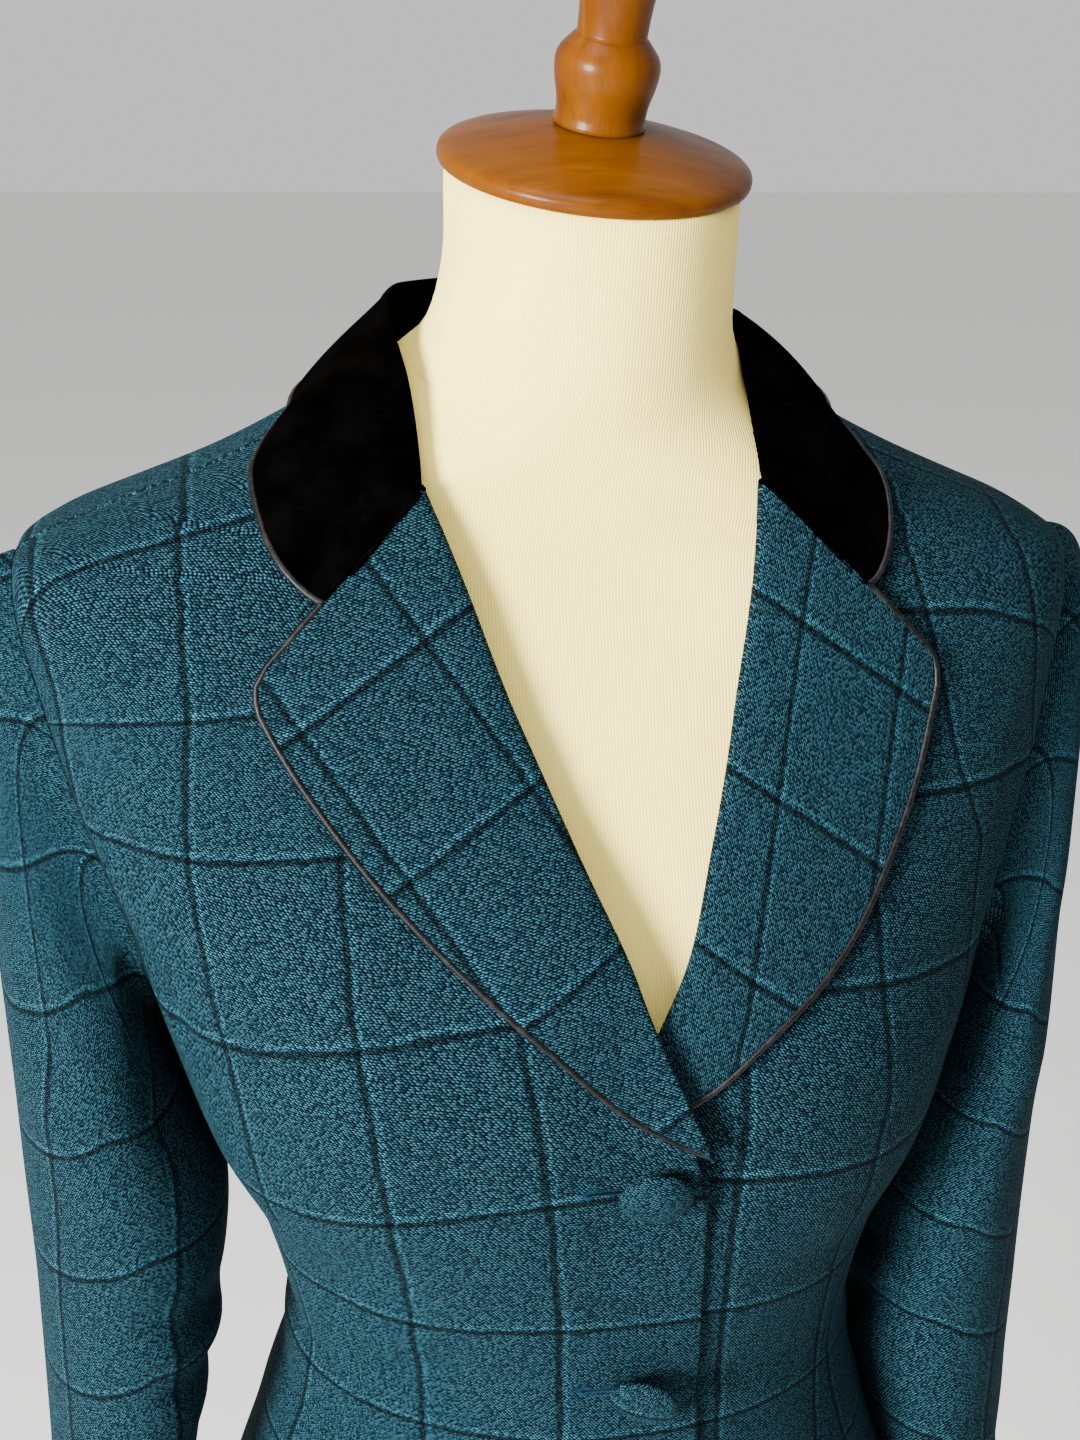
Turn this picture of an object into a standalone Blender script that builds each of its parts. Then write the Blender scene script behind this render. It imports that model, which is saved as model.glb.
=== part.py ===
# Equestrian show coat on a limbless dress form with a wooden stand.
# Metres, +Z up, the origin at the centre of the stand's base, the coat's front towards -Y.
# Heights of the coat and form are measured from the nape line, which lies napeHeight above the floor.
import math
from collections import namedtuple

import bpy
from mathutils import Matrix, Vector

# Driving dimensions
napeHeight = 1.360
clothThickness = 0.0020
seamGap = 0.0006
capGap = 0.0014
coatHem = -0.680
formBottom = -0.702
breakHeight = -0.249
necklineHeight = -0.003
napeDip = -0.024
shoulderTipHeight = -0.066
underarmHeight = -0.240
armholeTurn = -0.195
overlapHalf = 0.020
buttonHeights = (-0.270, -0.368, -0.466)
pipingRadius = 0.0012
neckTopHeight = 0.0685
poleRadius = 0.0165

# One level section of the body for each row: half width, depths to front and back from its
# centre, squareness of the outline, rise of the plane from front to back, sideways shift.
Section = namedtuple("Section", "height width front back centre square lean sway")
sections = (
    Section(-0.710, 0.176, 0.139, 0.156, 0.000, 2.10, 0.00, 0.000),
    Section(-0.600, 0.165, 0.130, 0.146, 0.000, 2.10, 0.00, 0.000),
    Section(-0.500, 0.148, 0.119, 0.124, 0.000, 2.10, 0.00, 0.001),
    Section(-0.440, 0.130, 0.109, 0.105, 0.000, 2.10, 0.00, 0.001),
    Section(-0.385, 0.1175, 0.103, 0.093, 0.000, 2.15, 0.00, 0.002),
    Section(-0.335, 0.1260, 0.109, 0.099, 0.000, 2.25, 0.00, 0.001),
    Section(-0.290, 0.144, 0.116, 0.108, 0.000, 2.45, 0.00, -0.001),
    Section(-0.250, 0.154, 0.116, 0.113, 0.000, 2.50, 0.00, -0.003),
    Section(-0.205, 0.164, 0.111, 0.119, 0.000, 2.60, 0.00, -0.005),
    Section(-0.150, 0.183, 0.097, 0.121, 0.001, 2.80, 0.02, -0.007),
    Section(-0.110, 0.192, 0.085, 0.115, 0.002, 2.90, 0.04, -0.008),
    Section(-0.080, 0.197, 0.076, 0.103, 0.003, 2.80, 0.05, -0.008),
    Section(-0.068, 0.196, 0.072, 0.096, 0.003, 2.70, 0.06, -0.008),
    Section(-0.060, 0.186, 0.070, 0.091, 0.003, 2.60, 0.06, -0.008),
    Section(-0.050, 0.163, 0.068, 0.086, 0.003, 2.50, 0.06, -0.007),
    Section(-0.039, 0.135, 0.066, 0.081, 0.003, 2.40, 0.08, -0.005),
    Section(-0.026, 0.107, 0.065, 0.076, 0.003, 2.30, 0.12, -0.004),
    Section(-0.014, 0.085, 0.064, 0.071, 0.002, 2.20, 0.18, -0.002),
    Section(-0.003, 0.070, 0.062, 0.066, 0.001, 2.10, 0.24, -0.001),
    Section(0.008, 0.0612, 0.0610, 0.0610, -0.001, 2.00, 0.26, 0.001),
    Section(0.022, 0.0582, 0.0590, 0.0590, -0.003, 2.00, 0.26, 0.002),
    Section(0.072, 0.0560, 0.0565, 0.0565, -0.010, 2.00, 0.23, 0.004),
)
neckTip = 0.050
bust = {"side": 0.078, "height": -0.240, "wide": 0.060, "tall": 0.072, "depth": 0.011}

# The form's clearance inside the coat's outer face, at the side seams and at the front.
Ease = namedtuple("Ease", "height side front")
formEase = (
    Ease(-0.710, 0.016, 0.016), Ease(-0.550, 0.012, 0.012), Ease(-0.390, 0.007, 0.008),
    Ease(-0.255, 0.006, 0.0065), Ease(-0.150, 0.005, 0.007), Ease(-0.070, 0.0048, 0.007),
    Ease(-0.003, 0.0028, 0.005), Ease(0.020, 0.0028, 0.0028), Ease(0.072, 0.0028, 0.0028),
)

# Sideways shift of the closure towards the wearer's left.
Closure = namedtuple("Closure", "height shift")
closureLine = (
    Closure(-0.690, 0.018), Closure(-0.450, 0.017), Closure(-0.370, 0.014), Closure(-0.270, 0.010),
    Closure(-0.200, 0.011), Closure(-0.150, 0.005), Closure(-0.100, -0.002), Closure(-0.035, -0.004),
)

# Roll line of a lapel as a distance from the closure line, with the shift that both rolls share,
# and its outer edge as a distance from the closure line.
Roll = namedtuple("Roll", "height side shift")
rollLine = (
    Roll(-0.249, -0.0165, 0.0000), Roll(-0.215, 0.000, 0.0000), Roll(-0.182, 0.0140, 0.0010),
    Roll(-0.146, 0.0265, 0.0032), Roll(-0.112, 0.0375, 0.0052), Roll(-0.074, 0.0485, 0.0042),
    Roll(-0.035, 0.0580, 0.0000),
)
Edge = namedtuple("Edge", "height side")
lapelEdge = (
    Edge(-0.2545, -0.0190), Edge(-0.2340, 0.018), Edge(-0.2160, 0.038), Edge(-0.1980, 0.0575),
    Edge(-0.1780, 0.0760), Edge(-0.1530, 0.0940), Edge(-0.1300, 0.1070), Edge(-0.1120, 0.1150),
    Edge(-0.1030, 0.1180), Edge(-0.0960, 0.1175), Edge(-0.0905, 0.1135),
)
notch = Edge(-0.0705, 0.0940)

# Collar from the centre back, 0, to the gorge, 1. The fold is in the coat's own X, Y and height;
# the outer edge and the foot of the stand are places on the body, an angle from the front and a height.
CollarFold = namedtuple("CollarFold", "along x y z")
collarFold = (
    CollarFold(0.00, 0.0000, 0.0720, 0.0170), CollarFold(0.20, 0.0310, 0.0655, 0.0172),
    CollarFold(0.40, 0.0585, 0.0440, 0.0170), CollarFold(0.60, 0.0715, 0.0100, 0.0130),
    CollarFold(0.80, 0.0695, -0.0290, -0.0030), CollarFold(1.00, 0.0580, -0.0610, -0.0350),
)
CollarEdge = namedtuple("CollarEdge", "along angle height")
collarEdge = (
    CollarEdge(0.00, 180.0, -0.0360), CollarEdge(0.20, 152.0, -0.0350), CollarEdge(0.40, 122.0, -0.0290),
    CollarEdge(0.60, 90.0, -0.0225), CollarEdge(0.74, 67.5, -0.0320), CollarEdge(0.84, 52.3, -0.0409),
    CollarEdge(0.91, 39.2, -0.0508), CollarEdge(0.95, 30.9, -0.0590), CollarEdge(0.98, 25.6, -0.0637),
    CollarEdge(1.00, 22.0, -0.0666),
)
collarSway = -0.003
collarEdgeOut = 0.0050
collarBackOut = 0.0058
collarOverRoll = 0.0014
CollarFoot = namedtuple("CollarFoot", "along angle height out")
collarFoot = (
    CollarFoot(0.00, 180.0, -0.0200, 0.0010), CollarFoot(0.20, 150.0, -0.0165, 0.0008),
    CollarFoot(0.40, 120.0, -0.0065, 0.0006), CollarFoot(0.60, 90.0, -0.0015, 0.0006),
    CollarFoot(0.80, 62.0, -0.0020, 0.0010), CollarFoot(1.00, 40.0, -0.0150, 0.0035),
)

# Sleeve below the cap, one row for each ring: its centre, half sizes and turn in degrees,
# and how far the wearer's right sleeve fills out towards the body.
Ring = namedtuple("Ring", "height x y wide deep turn fill")
sleeveRings = (
    Ring(-0.270, 0.1855, 0.000, 0.0243, 0.066, 6.0, 0.0050), Ring(-0.310, 0.1790, 0.002, 0.0305, 0.064, 9.0, 0.0070),
    Ring(-0.380, 0.1755, 0.003, 0.0335, 0.060, 12.0, 0.0010), Ring(-0.430, 0.1790, 0.001, 0.0297, 0.058, 14.0, 0.0),
    Ring(-0.480, 0.1835, -0.004, 0.0260, 0.056, 14.0, 0.0), Ring(-0.530, 0.1925, -0.012, 0.0250, 0.054, 12.0, 0.0),
    Ring(-0.590, 0.2035, -0.022, 0.0245, 0.052, 9.0, 0.0), Ring(-0.655, 0.2110, -0.033, 0.0240, 0.050, 6.0, 0.0),
)
sleeveSway = -0.0072
capShare = 0.36
standShare, foldShare = 0.28, 0.52
rollShare = 0.42
rollSetback = 0.0034
lapelGap = 0.0013
lapelSteps = 18
buttonDroop = 12.0
frontSeamTurn = 120.0
backSeamTurn = 240.0

# Rolled edge of a lapel, seen across the roll line: distance into the lapel and height off the body.
Fold = namedtuple("Fold", "inward out")
lapelRoll = (
    Fold(0.0070, -0.0023), Fold(0.0042, -0.0023), Fold(0.0010, -0.0012), Fold(-0.0005, 0.0012),
    Fold(-0.0005, 0.0036), Fold(0.0010, 0.0056), Fold(0.0040, 0.0064),
)
panelLift = 0.0025
lapelEdgeOut = 0.0046

# Turned pieces, from the axis at the top, down the outer side, to the axis at the foot.
Turn = namedtuple("Turn", "radius height")
finialTurns = (
    Turn(0.0000, 0.0960), Turn(0.0080, 0.0945), Turn(0.0160, 0.0890), Turn(0.0215, 0.0800),
    Turn(0.0230, 0.0690), Turn(0.0205, 0.0570), Turn(0.0150, 0.0480), Turn(0.0128, 0.0410),
    Turn(0.0122, 0.0330), Turn(0.0121, 0.0285), Turn(0.0140, 0.0265), Turn(0.0168, 0.0235),
    Turn(0.0182, 0.0190), Turn(0.0180, 0.0145), Turn(0.0160, 0.0090), Turn(0.0147, 0.0055),
    Turn(0.0158, 0.0025), Turn(0.0158, 0.0000), Turn(0.0000, 0.0000),
)
capTurns = (
    Turn(0.0000, 0.0120), Turn(0.0220, 0.0115), Turn(0.0400, 0.0092), Turn(0.0515, 0.0064),
    Turn(0.0550, 0.0045), Turn(0.0550, 0.0012), Turn(0.0538, 0.0000), Turn(0.0000, 0.0000),
)
buttonTurns = (
    Turn(0.0000, 0.0068), Turn(0.0060, 0.0064), Turn(0.0105, 0.0052), Turn(0.0131, 0.0034),
    Turn(0.0138, 0.0020), Turn(0.0130, 0.0008), Turn(0.0105, 0.0000), Turn(0.0000, 0.0000),
)
baseTurns = (
    Turn(0.0000, 0.0600), Turn(0.0230, 0.0600), Turn(0.0270, 0.0570), Turn(0.0280, 0.0480),
    Turn(0.0330, 0.0360), Turn(0.0520, 0.0300), Turn(0.1450, 0.0270), Turn(0.1560, 0.0230),
    Turn(0.1600, 0.0180), Turn(0.1680, 0.0160), Turn(0.1700, 0.0120), Turn(0.1700, 0.0030),
    Turn(0.1670, 0.0000), Turn(0.0000, 0.0000),
)


def tableAt(rows, key, column, keyColumn=0):
    """Smooth value of one column where the key column has the given value."""
    step = 1 if rows[-1][keyColumn] > rows[0][keyColumn] else -1
    ordered = rows[::step]
    last = len(ordered) - 1
    index = 0
    while index < last - 1 and key > ordered[index + 1][keyColumn]:
        index += 1

    def slope(at):
        low, here, high = ordered[max(at - 1, 0)], ordered[at], ordered[min(at + 1, last)]
        if low is here or high is here:
            return (high[column] - low[column]) / (high[keyColumn] - low[keyColumn])
        before = (here[column] - low[column]) / (here[keyColumn] - low[keyColumn])
        after = (high[column] - here[column]) / (high[keyColumn] - here[keyColumn])
        return 0.0 if before * after <= 0 else 2 * before * after / (before + after)

    low, high = ordered[index], ordered[index + 1]
    gap = high[keyColumn] - low[keyColumn]
    s = (key - low[keyColumn]) / gap
    start = (2 * s ** 3 - 3 * s ** 2 + 1) * low[column] + (s ** 3 - 2 * s ** 2 + s) * gap * slope(index)
    end = (3 * s ** 2 - 2 * s ** 3) * high[column] + (s ** 3 - s ** 2) * gap * slope(index + 1)
    return start + end


def mix(low, high, share):
    return low + (high - low) * share


def fade(value):
    """Smooth step from 0 to 1 as the value goes from 0 to 1."""
    value = min(max(value, 0.0), 1.0)
    return value * value * (3 - 2 * value)


def sectionAt(height):
    return Section(*[tableAt(sections, height, column) for column in range(len(Section._fields))])


def bodyBase(angle, height):
    """Outer face of the cloth, by the angle from the front towards the wearer's left."""
    row = sectionAt(height)
    sine, cosine = math.sin(angle), math.cos(angle)
    x = row.width * math.copysign(abs(sine) ** (2 / row.square), sine)
    depth = row.front if cosine > 0 else row.back
    y = row.centre - depth * math.copysign(abs(cosine) ** (2 / row.square), cosine)
    if cosine > 0:
        across = (abs(x) - bust["side"]) / bust["wide"]
        up = (height - bust["height"]) / bust["tall"]
        y -= bust["depth"] * math.exp(-across ** 2 - up ** 2)
    z = height + row.lean * y - neckTip * x * fade(height / neckTopHeight)
    return Vector((x + row.sway, y, z))


def bodyNormal(angle, height):
    turn, rise = 0.02, 0.003
    along = bodyBase(angle + turn, height) - bodyBase(angle - turn, height)
    up = bodyBase(angle, height + rise) - bodyBase(angle, height - rise)
    return along.cross(up).normalized()


def bodyPoint(angle, height, out=0.0):
    return bodyBase(angle, height) + bodyNormal(angle, height) * out


def angleAt(x, height):
    """Angle on the front where the section passes the given X."""
    row = sectionAt(height)
    reach = min(abs(x - row.sway) / row.width, 1.0)
    return math.copysign(math.asin(reach ** (row.square / 2)), x - row.sway)


def frontPlace(x, z):
    """Angle and section height of the front point with the given X and true height."""
    height = z
    for _ in range(8):
        y = bodyBase(angleAt(x, height), height).y
        height = z - sectionAt(height).lean * y
    return angleAt(x, height), height


def frontPoint(x, z, out=0.0):
    return bodyPoint(*frontPlace(x, z), out)


def closureAt(z):
    return tableAt(closureLine, z, 1)


def spread(places, count, toPoint=Vector):
    """The same line of places with equal distances between the points that they stand for."""
    points = [toPoint(place) for place in places]
    reach = [0.0]
    for one, two in zip(points, points[1:]):
        reach.append(reach[-1] + (two - one).length)
    result = []
    at = 0
    for number in range(count):
        goal = reach[-1] * number / (count - 1)
        while at < len(places) - 2 and reach[at + 1] < goal:
            at += 1
        share = (goal - reach[at]) / max(reach[at + 1] - reach[at], 1e-9)
        result.append([mix(low, high, share) for low, high in zip(places[at], places[at + 1])])
    return result


# Edges of the panels, as angles from the front at a section height
def frontSeam(height):
    """Seam between a front and its side panel."""
    return math.radians(mix(50.0, 62.0, fade((height + 0.41) / 0.245)))


def backSeam(height):
    return math.radians(mix(128.0, 118.0, fade((height + 0.41) / 0.245)))


def armholeFront(height):
    up = (height - armholeTurn) / (shoulderTipHeight - armholeTurn)
    return math.radians(62.0 + 8.0 * up + 20.0 * up ** 6)


def armholeBack(height):
    up = (height - armholeTurn) / (shoulderTipHeight - armholeTurn)
    return math.radians(118.0 - 8.0 * up - 20.0 * up ** 6)


def underarm(angle):
    """Height of the armhole's lower curve over the side panel."""
    away = (math.degrees(angle) - 90.0) / 28.0
    return mix(underarmHeight, armholeTurn, min(abs(away), 1.0) ** 2.2)


def armholeLine(side, count):
    """Closed armhole as angles and heights, from the shoulder tip down the front and up the back."""
    steps = 24
    line = []
    for number in range(steps):
        height = mix(shoulderTipHeight, armholeTurn, (number / steps) ** 1.6)
        line.append((side * armholeFront(height), height))
    for number in range(2 * steps):
        angle = math.radians(mix(62.0, 118.0, number / (2 * steps)))
        line.append((side * angle, underarm(angle)))
    for number in range(steps + 1):
        height = mix(armholeTurn, shoulderTipHeight, 1 - (1 - number / steps) ** 1.6)
        line.append((side * armholeBack(height), height))
    return spread(line, count + 1, lambda place: bodyPoint(*place))


# Pieces of cloth as points: each function gives the outer face at across and along, 0 to 1
def frontEdge(side, height):
    """X of a front's free edge below the lapel; side is 1 for the wearer's left."""
    cutAway = 0.030 * fade((-0.470 - height) / 0.30) * 2
    cornerSize = 0.050
    below = max(coatHem + cornerSize - height, 0.0)
    corner = cornerSize - math.sqrt(max(cornerSize ** 2 - below ** 2, 0.0))
    return closureAt(height) - side * (overlapHalf - cutAway - corner)


def rollX(side, z):
    return closureAt(z) + tableAt(rollLine, z, 2) + side * tableAt(rollLine, z, 1)


def lapLift(side, x, height):
    """How far the wearer's right front stands over the left one."""
    if side > 0:
        return 0.0
    near = fade((0.105 - (closureAt(height) + overlapHalf - x)) / 0.055)
    return near * mix(0.0032, 0.0080, fade((height + 0.300) / 0.045)) * fade((-0.13 - height) / 0.07)


def frontPanel(side, across, height):
    if height < breakHeight:
        rollFoot = rollX(side, breakHeight) + side * rollSetback
        edge = mix(frontEdge(side, height), rollFoot, fade((height - breakHeight) / 0.025 + 1.0))
        start = angleAt(edge, height)
    elif height < -0.035:
        start = angleAt(rollX(side, height) + side * rollSetback, height)
    else:
        start = mix(angleAt(rollX(side, -0.035) + side * rollSetback, -0.035), side * math.radians(74.0),
                    (height + 0.035) / (necklineHeight + 0.035))
    if height < armholeTurn:
        end = frontSeam(height)
    elif height < shoulderTipHeight:
        end = armholeFront(height)
    else:
        end = math.radians(90.0)
    gap = seamGap / sectionAt(height).width
    angle = mix(start, side * (end - gap), across)
    base = bodyBase(angle, height)
    edgeX = bodyBase(start, height).x
    near = abs(base.x - edgeX)
    lift = panelLift * fade(1.0 - near / 0.030)
    lift *= fade((height - breakHeight + 0.03) / 0.03) * fade((-0.016 - height) / 0.022)
    return base + bodyNormal(angle, height) * (lift + lapLift(side, base.x, height))


def sidePanel(side, across, along):
    middle = mix(frontSeam(armholeTurn), backSeam(armholeTurn), across)
    top = underarm(middle)
    height = mix(coatHem, top, along)
    gap = seamGap * mix(1.0, 3.0, along ** 8) / sectionAt(height).width
    angle = mix(frontSeam(height) + gap, backSeam(height) - gap, across)
    return bodyPoint(side * angle, height)


def backPanel(side, across, height):
    if height < armholeTurn:
        start = backSeam(height)
    elif height < shoulderTipHeight:
        start = armholeBack(height)
    else:
        start = math.radians(90.0)
    row = sectionAt(height)
    middle = math.pi - math.asin((seamGap / 2 / row.width) ** (row.square / 2))
    angle = mix(start + seamGap / row.width, middle, across)
    if height > shoulderTipHeight:
        share = (height - shoulderTipHeight) / (necklineHeight - shoulderTipHeight)
        top = mix(necklineHeight, napeDip, fade((math.degrees(angle) - 90.0) / 75.0))
        height = mix(shoulderTipHeight, top, share)
    return bodyPoint(side * angle, height)


def lapelOuterLine(side, count):
    """Places on a lapel's outer edge, as X and true height, from the gorge to the break."""
    steps = 48
    top, foot = lapelEdge[-1].height, lapelEdge[0].height
    heights = [mix(top, foot, number / steps) for number in range(steps + 1)]
    line = [(closureAt(z) + side * tableAt(lapelEdge, z, 1), z) for z in heights]
    return spread(line, count + 1)


def lapelPoint(side, along, across, outer):
    """Along runs from the gorge, 0, to the break, 1; across from the inner return, 0, to the edge, 1."""
    rollZ = mix(rollLine[-1].height - lapelGap, rollLine[0].height, along)
    roll = Vector((rollX(side, rollZ), rollZ))
    outer = Vector(outer) + Vector((0.0, -lapelGap * (1.0 - along)))
    wayOut = (outer - roll).normalized()
    if across < rollShare:
        place = across / rollShare * (len(lapelRoll) - 1)
        index = min(int(place), len(lapelRoll) - 2)
        low, high = lapelRoll[index], lapelRoll[index + 1]
        spot = roll + wayOut * mix(low.inward, high.inward, place - index)
        out = mix(low.out, high.out, place - index)
    else:
        share = (across - rollShare) / (1 - rollShare)
        spot = (roll + wayOut * lapelRoll[-1].inward).lerp(outer, share)
        out = mix(lapelRoll[-1].out, lapelEdgeOut, fade(share))
    out = mix(out, min(out, 0.0050), fade((along - 0.70) / 0.15))
    angle, height = frontPlace(spot.x, spot.y)
    return bodyPoint(angle, height, out + lapLift(side, spot.x, height))


def collarPoint(side, along, across):
    """Across runs from the foot of the stand, 0, over the fold, to the outer edge, 1."""
    foot = bodyPoint(side * math.radians(tableAt(collarFoot, along, 1)), *[tableAt(collarFoot, along, column)
                                                                          for column in (2, 3)])
    edgeOut = mix(collarBackOut, collarEdgeOut, fade(along))
    edge = bodyPoint(side * math.radians(tableAt(collarEdge, along, 1)), tableAt(collarEdge, along, 2), edgeOut)
    fold = Vector([tableAt(collarFold, along, column) for column in (1, 2, 3)])
    fold.x = side * fold.x + collarSway
    toGorge = fade((along - 0.5) / 0.5)
    gorge = rollLine[-1].height
    gorgeFold = frontPoint(rollX(side, gorge), gorge, lapelRoll[-1].out + collarOverRoll)
    gorgeEdge = frontPoint(closureAt(notch.height) + side * notch.side, notch.height, collarEdgeOut)
    foldEnd = Vector((side * collarFold[-1].x + collarSway, collarFold[-1].y, collarFold[-1].z))
    edgeEnd = bodyPoint(side * math.radians(collarEdge[-1].angle), collarEdge[-1].height, collarEdgeOut)
    fold += (gorgeFold - foldEnd) * toGorge
    edge += (gorgeEdge - edgeEnd) * toGorge
    rise = (fold - foot).normalized()
    away = ((edge - fold) - rise * (edge - fold).dot(rise)).normalized()
    radius = mix(0.0034, 0.0028, along)
    centre = fold - rise * radius + away * radius
    if across < standShare:
        return foot.lerp(centre - away * radius, across / standShare)
    if across < foldShare:
        turn = math.pi * (across - standShare) / (foldShare - standShare)
        return centre - away * radius * math.cos(turn) + rise * radius * math.sin(turn)
    share = (across - foldShare) / (1 - foldShare)
    start = centre + away * radius
    fall = edge - start
    upward = (rise - fall * rise.dot(fall) / fall.length_squared).normalized()
    bulge = mix(0.0065, 0.0050, along)
    return start + fall * share + upward * bulge * 4 * share * (1 - share)


def sleevePoint(side, turn, along, armhole):
    """Turn runs in degrees round the sleeve, from its outermost line over the front; along to the cuff."""
    radians = math.radians(turn)

    def ringPoint(height):
        row = Ring(*[tableAt(sleeveRings, height, column) for column in range(len(Ring._fields))])
        fill = row.fill if side < 0 else 0.0
        turned = Matrix.Rotation(-math.radians(row.turn), 2)
        spot = turned @ Vector(((row.wide + fill) * math.cos(radians), -row.deep * math.sin(radians)))
        return Vector((side * (row.x - fill + spot.x) + sleeveSway, row.y + spot.y, height))

    bicep, cuff = sleeveRings[0].height, sleeveRings[-1].height
    if along >= capShare:
        return ringPoint(mix(bicep, cuff, (along - capShare) / (1 - capShare)))
    count = len(armhole) - 1
    place = turn / 360.0 * count
    index = int(place) % count
    hole = [mix(low, high, place - int(place)) for low, high in zip(armhole[index], armhole[index + 1])]
    start = bodyPoint(*hole)
    before, after = (bodyPoint(*armhole[(index + step) % count]) for step in (-1, 2))
    away = bodyNormal(*hole).cross(after - before).normalized() * side
    top = (1 + math.cos(radians)) / 2
    outward = (away * top + Vector((side, 0.0, -0.35)) * (1 - top)).normalized()
    start = start + outward * capGap
    end = ringPoint(bicep)
    share = along / capShare
    push = outward * mix(0.018, 0.050, top)
    drop = Vector((0, 0, -1)) * (end - start).length
    near = (2 * share ** 3 - 3 * share ** 2 + 1) * start + (share ** 3 - 2 * share ** 2 + share) * push
    far = (3 * share ** 2 - 2 * share ** 3) * end + (share ** 3 - share ** 2) * drop
    return near + far


def formPoint(angle, height):
    side, front = tableAt(formEase, height, 1), tableAt(formEase, height, 2)
    inside = mix(side, front, max(math.cos(angle), 0.0) ** 2)
    point = bodyPoint(angle, height, -inside)
    point.z = mix(point.z, bodyBase(angle, height).z, fade((-0.60 - height) / 0.08))
    return point


# Building the objects
def newCollection(name):
    collection = bpy.data.collections.new(name)
    bpy.context.scene.collection.children.link(collection)
    return collection


def finish(name, colour, roughness, metallic=0.0):
    material = bpy.data.materials.new(name)
    material.use_nodes = True
    shader = material.node_tree.nodes["Principled BSDF"]
    shader.inputs["Base Color"].default_value = (*colour, 1.0)
    shader.inputs["Roughness"].default_value = roughness
    shader.inputs["Metallic"].default_value = metallic
    return material


def addMesh(name, points, faces, material, smooth=True):
    mesh = bpy.data.meshes.new(name)
    mesh.from_pydata([tuple(point) for point in points], [], faces)
    mesh.materials.append(material)
    if smooth:
        mesh.shade_smooth()
    thing = bpy.data.objects.new(name, mesh)
    coatCollection.objects.link(thing)
    thing.parent = nape
    return thing


def addCloth(name, rows, material, outside, thickness=clothThickness, evenWall=False):
    """A sheet through rows of points; outside is 1 when across x along faces out, else -1."""
    wide = len(rows[0])
    points = [point for row in rows for point in row]
    faces = []
    for line in range(len(rows) - 1):
        for number in range(wide - 1):
            corner = line * wide + number
            face = (corner, corner + 1, corner + wide + 1, corner + wide)
            faces.append(face if outside > 0 else face[::-1])
    cloth = addMesh(name, points, faces, material)
    wall = cloth.modifiers.new("wall", "SOLIDIFY")
    wall.thickness = thickness
    wall.offset = -1.0
    wall.use_even_offset = evenWall
    return cloth


def shares(count):
    return [number / count for number in range(count + 1)]


def stations(*runs):
    """Heights from runs of (start, end, steps), each without its end but the last."""
    heights = []
    for start, end, steps in runs:
        heights += [mix(start, end, share) for share in shares(steps)[:-1]]
    return heights + [runs[-1][1]]


def addTurned(name, turns, material, steps):
    mesh = bpy.data.meshes.new(name)
    mesh.from_pydata([(row.radius, 0.0, row.height) for row in turns], [(n, n + 1) for n in range(len(turns) - 1)], [])
    mesh.materials.append(material)
    thing = bpy.data.objects.new(name, mesh)
    coatCollection.objects.link(thing)
    spin = thing.modifiers.new("spin", "SCREW")
    spin.axis = "Z"
    spin.steps = steps
    spin.render_steps = steps
    spin.use_merge_vertices = True
    spin.merge_threshold = 0.0001
    spin.use_smooth_shade = True
    return thing


def addPiping(name, line, material):
    curve = bpy.data.curves.new(name, "CURVE")
    curve.dimensions = "3D"
    curve.bevel_depth = pipingRadius
    curve.bevel_resolution = 1
    curve.use_fill_caps = True
    spline = curve.splines.new("POLY")
    spline.points.add(len(line) - 1)
    for place, point in zip(spline.points, line):
        place.co = (*point, 1.0)
    curve.materials.append(material)
    thing = bpy.data.objects.new(name, curve)
    coatCollection.objects.link(thing)
    thing.parent = nape
    return thing


# The coat's pieces
def sideName(side):
    return "left" if side > 0 else "right"


def lowerHeights():
    """Rows that the body's panels share, from the hem to the foot of the armhole."""
    return stations((coatHem, coatHem + 0.010, 1), (coatHem + 0.010, -0.620, 2), (-0.620, breakHeight, 12),
                    (breakHeight, armholeTurn, 3))


def upperHeights():
    return stations((armholeTurn, -0.080, 5), (-0.080, shoulderTipHeight, 2),
                    (shoulderTipHeight, necklineHeight, 7))[1:]


def makeFront(side, material):
    rows = [[frontPanel(side, share, height) for share in shares(10)] for height in lowerHeights() + upperHeights()]
    return addCloth("front_" + sideName(side), rows, material, side)


def makeSide(side, material):
    alongs = [(height - coatHem) / (armholeTurn - coatHem) for height in lowerHeights()]
    rows = [[sidePanel(side, across, along) for across in shares(5)] for along in alongs]
    return addCloth("side_" + sideName(side), rows, material, side)


def makeBack(side, material):
    rows = [[backPanel(side, share, height) for share in shares(8)] for height in lowerHeights() + upperHeights()]
    return addCloth("back_" + sideName(side), rows, material, side)


def makeLapel(side, material):
    across = stations((0.0, rollShare, 6), (rollShare, 1.0, 5))
    rows = [[lapelPoint(side, along, share, outer) for share in across]
            for along, outer in zip(shares(lapelSteps), lapelOuterLine(side, lapelSteps))]
    return addCloth("lapel_" + sideName(side), rows, material, -side, 0.0018, True)


def collarPlaces():
    """Stations round the collar from the wearer's right gorge to the left one."""
    stops = [share ** 0.9 * 0.997 for share in shares(14)]
    return [(-1, along) for along in stops[::-1]] + [(1, along) for along in stops[1:]]


def makeCollar(material):
    across = stations((0.0, standShare, 2), (standShare, foldShare, 3), (foldShare, 1.0, 4))
    rows = [[collarPoint(side, along, share) for share in across] for side, along in collarPlaces()]
    return addCloth("collar", rows, material, -1, 0.0019, True)


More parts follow.
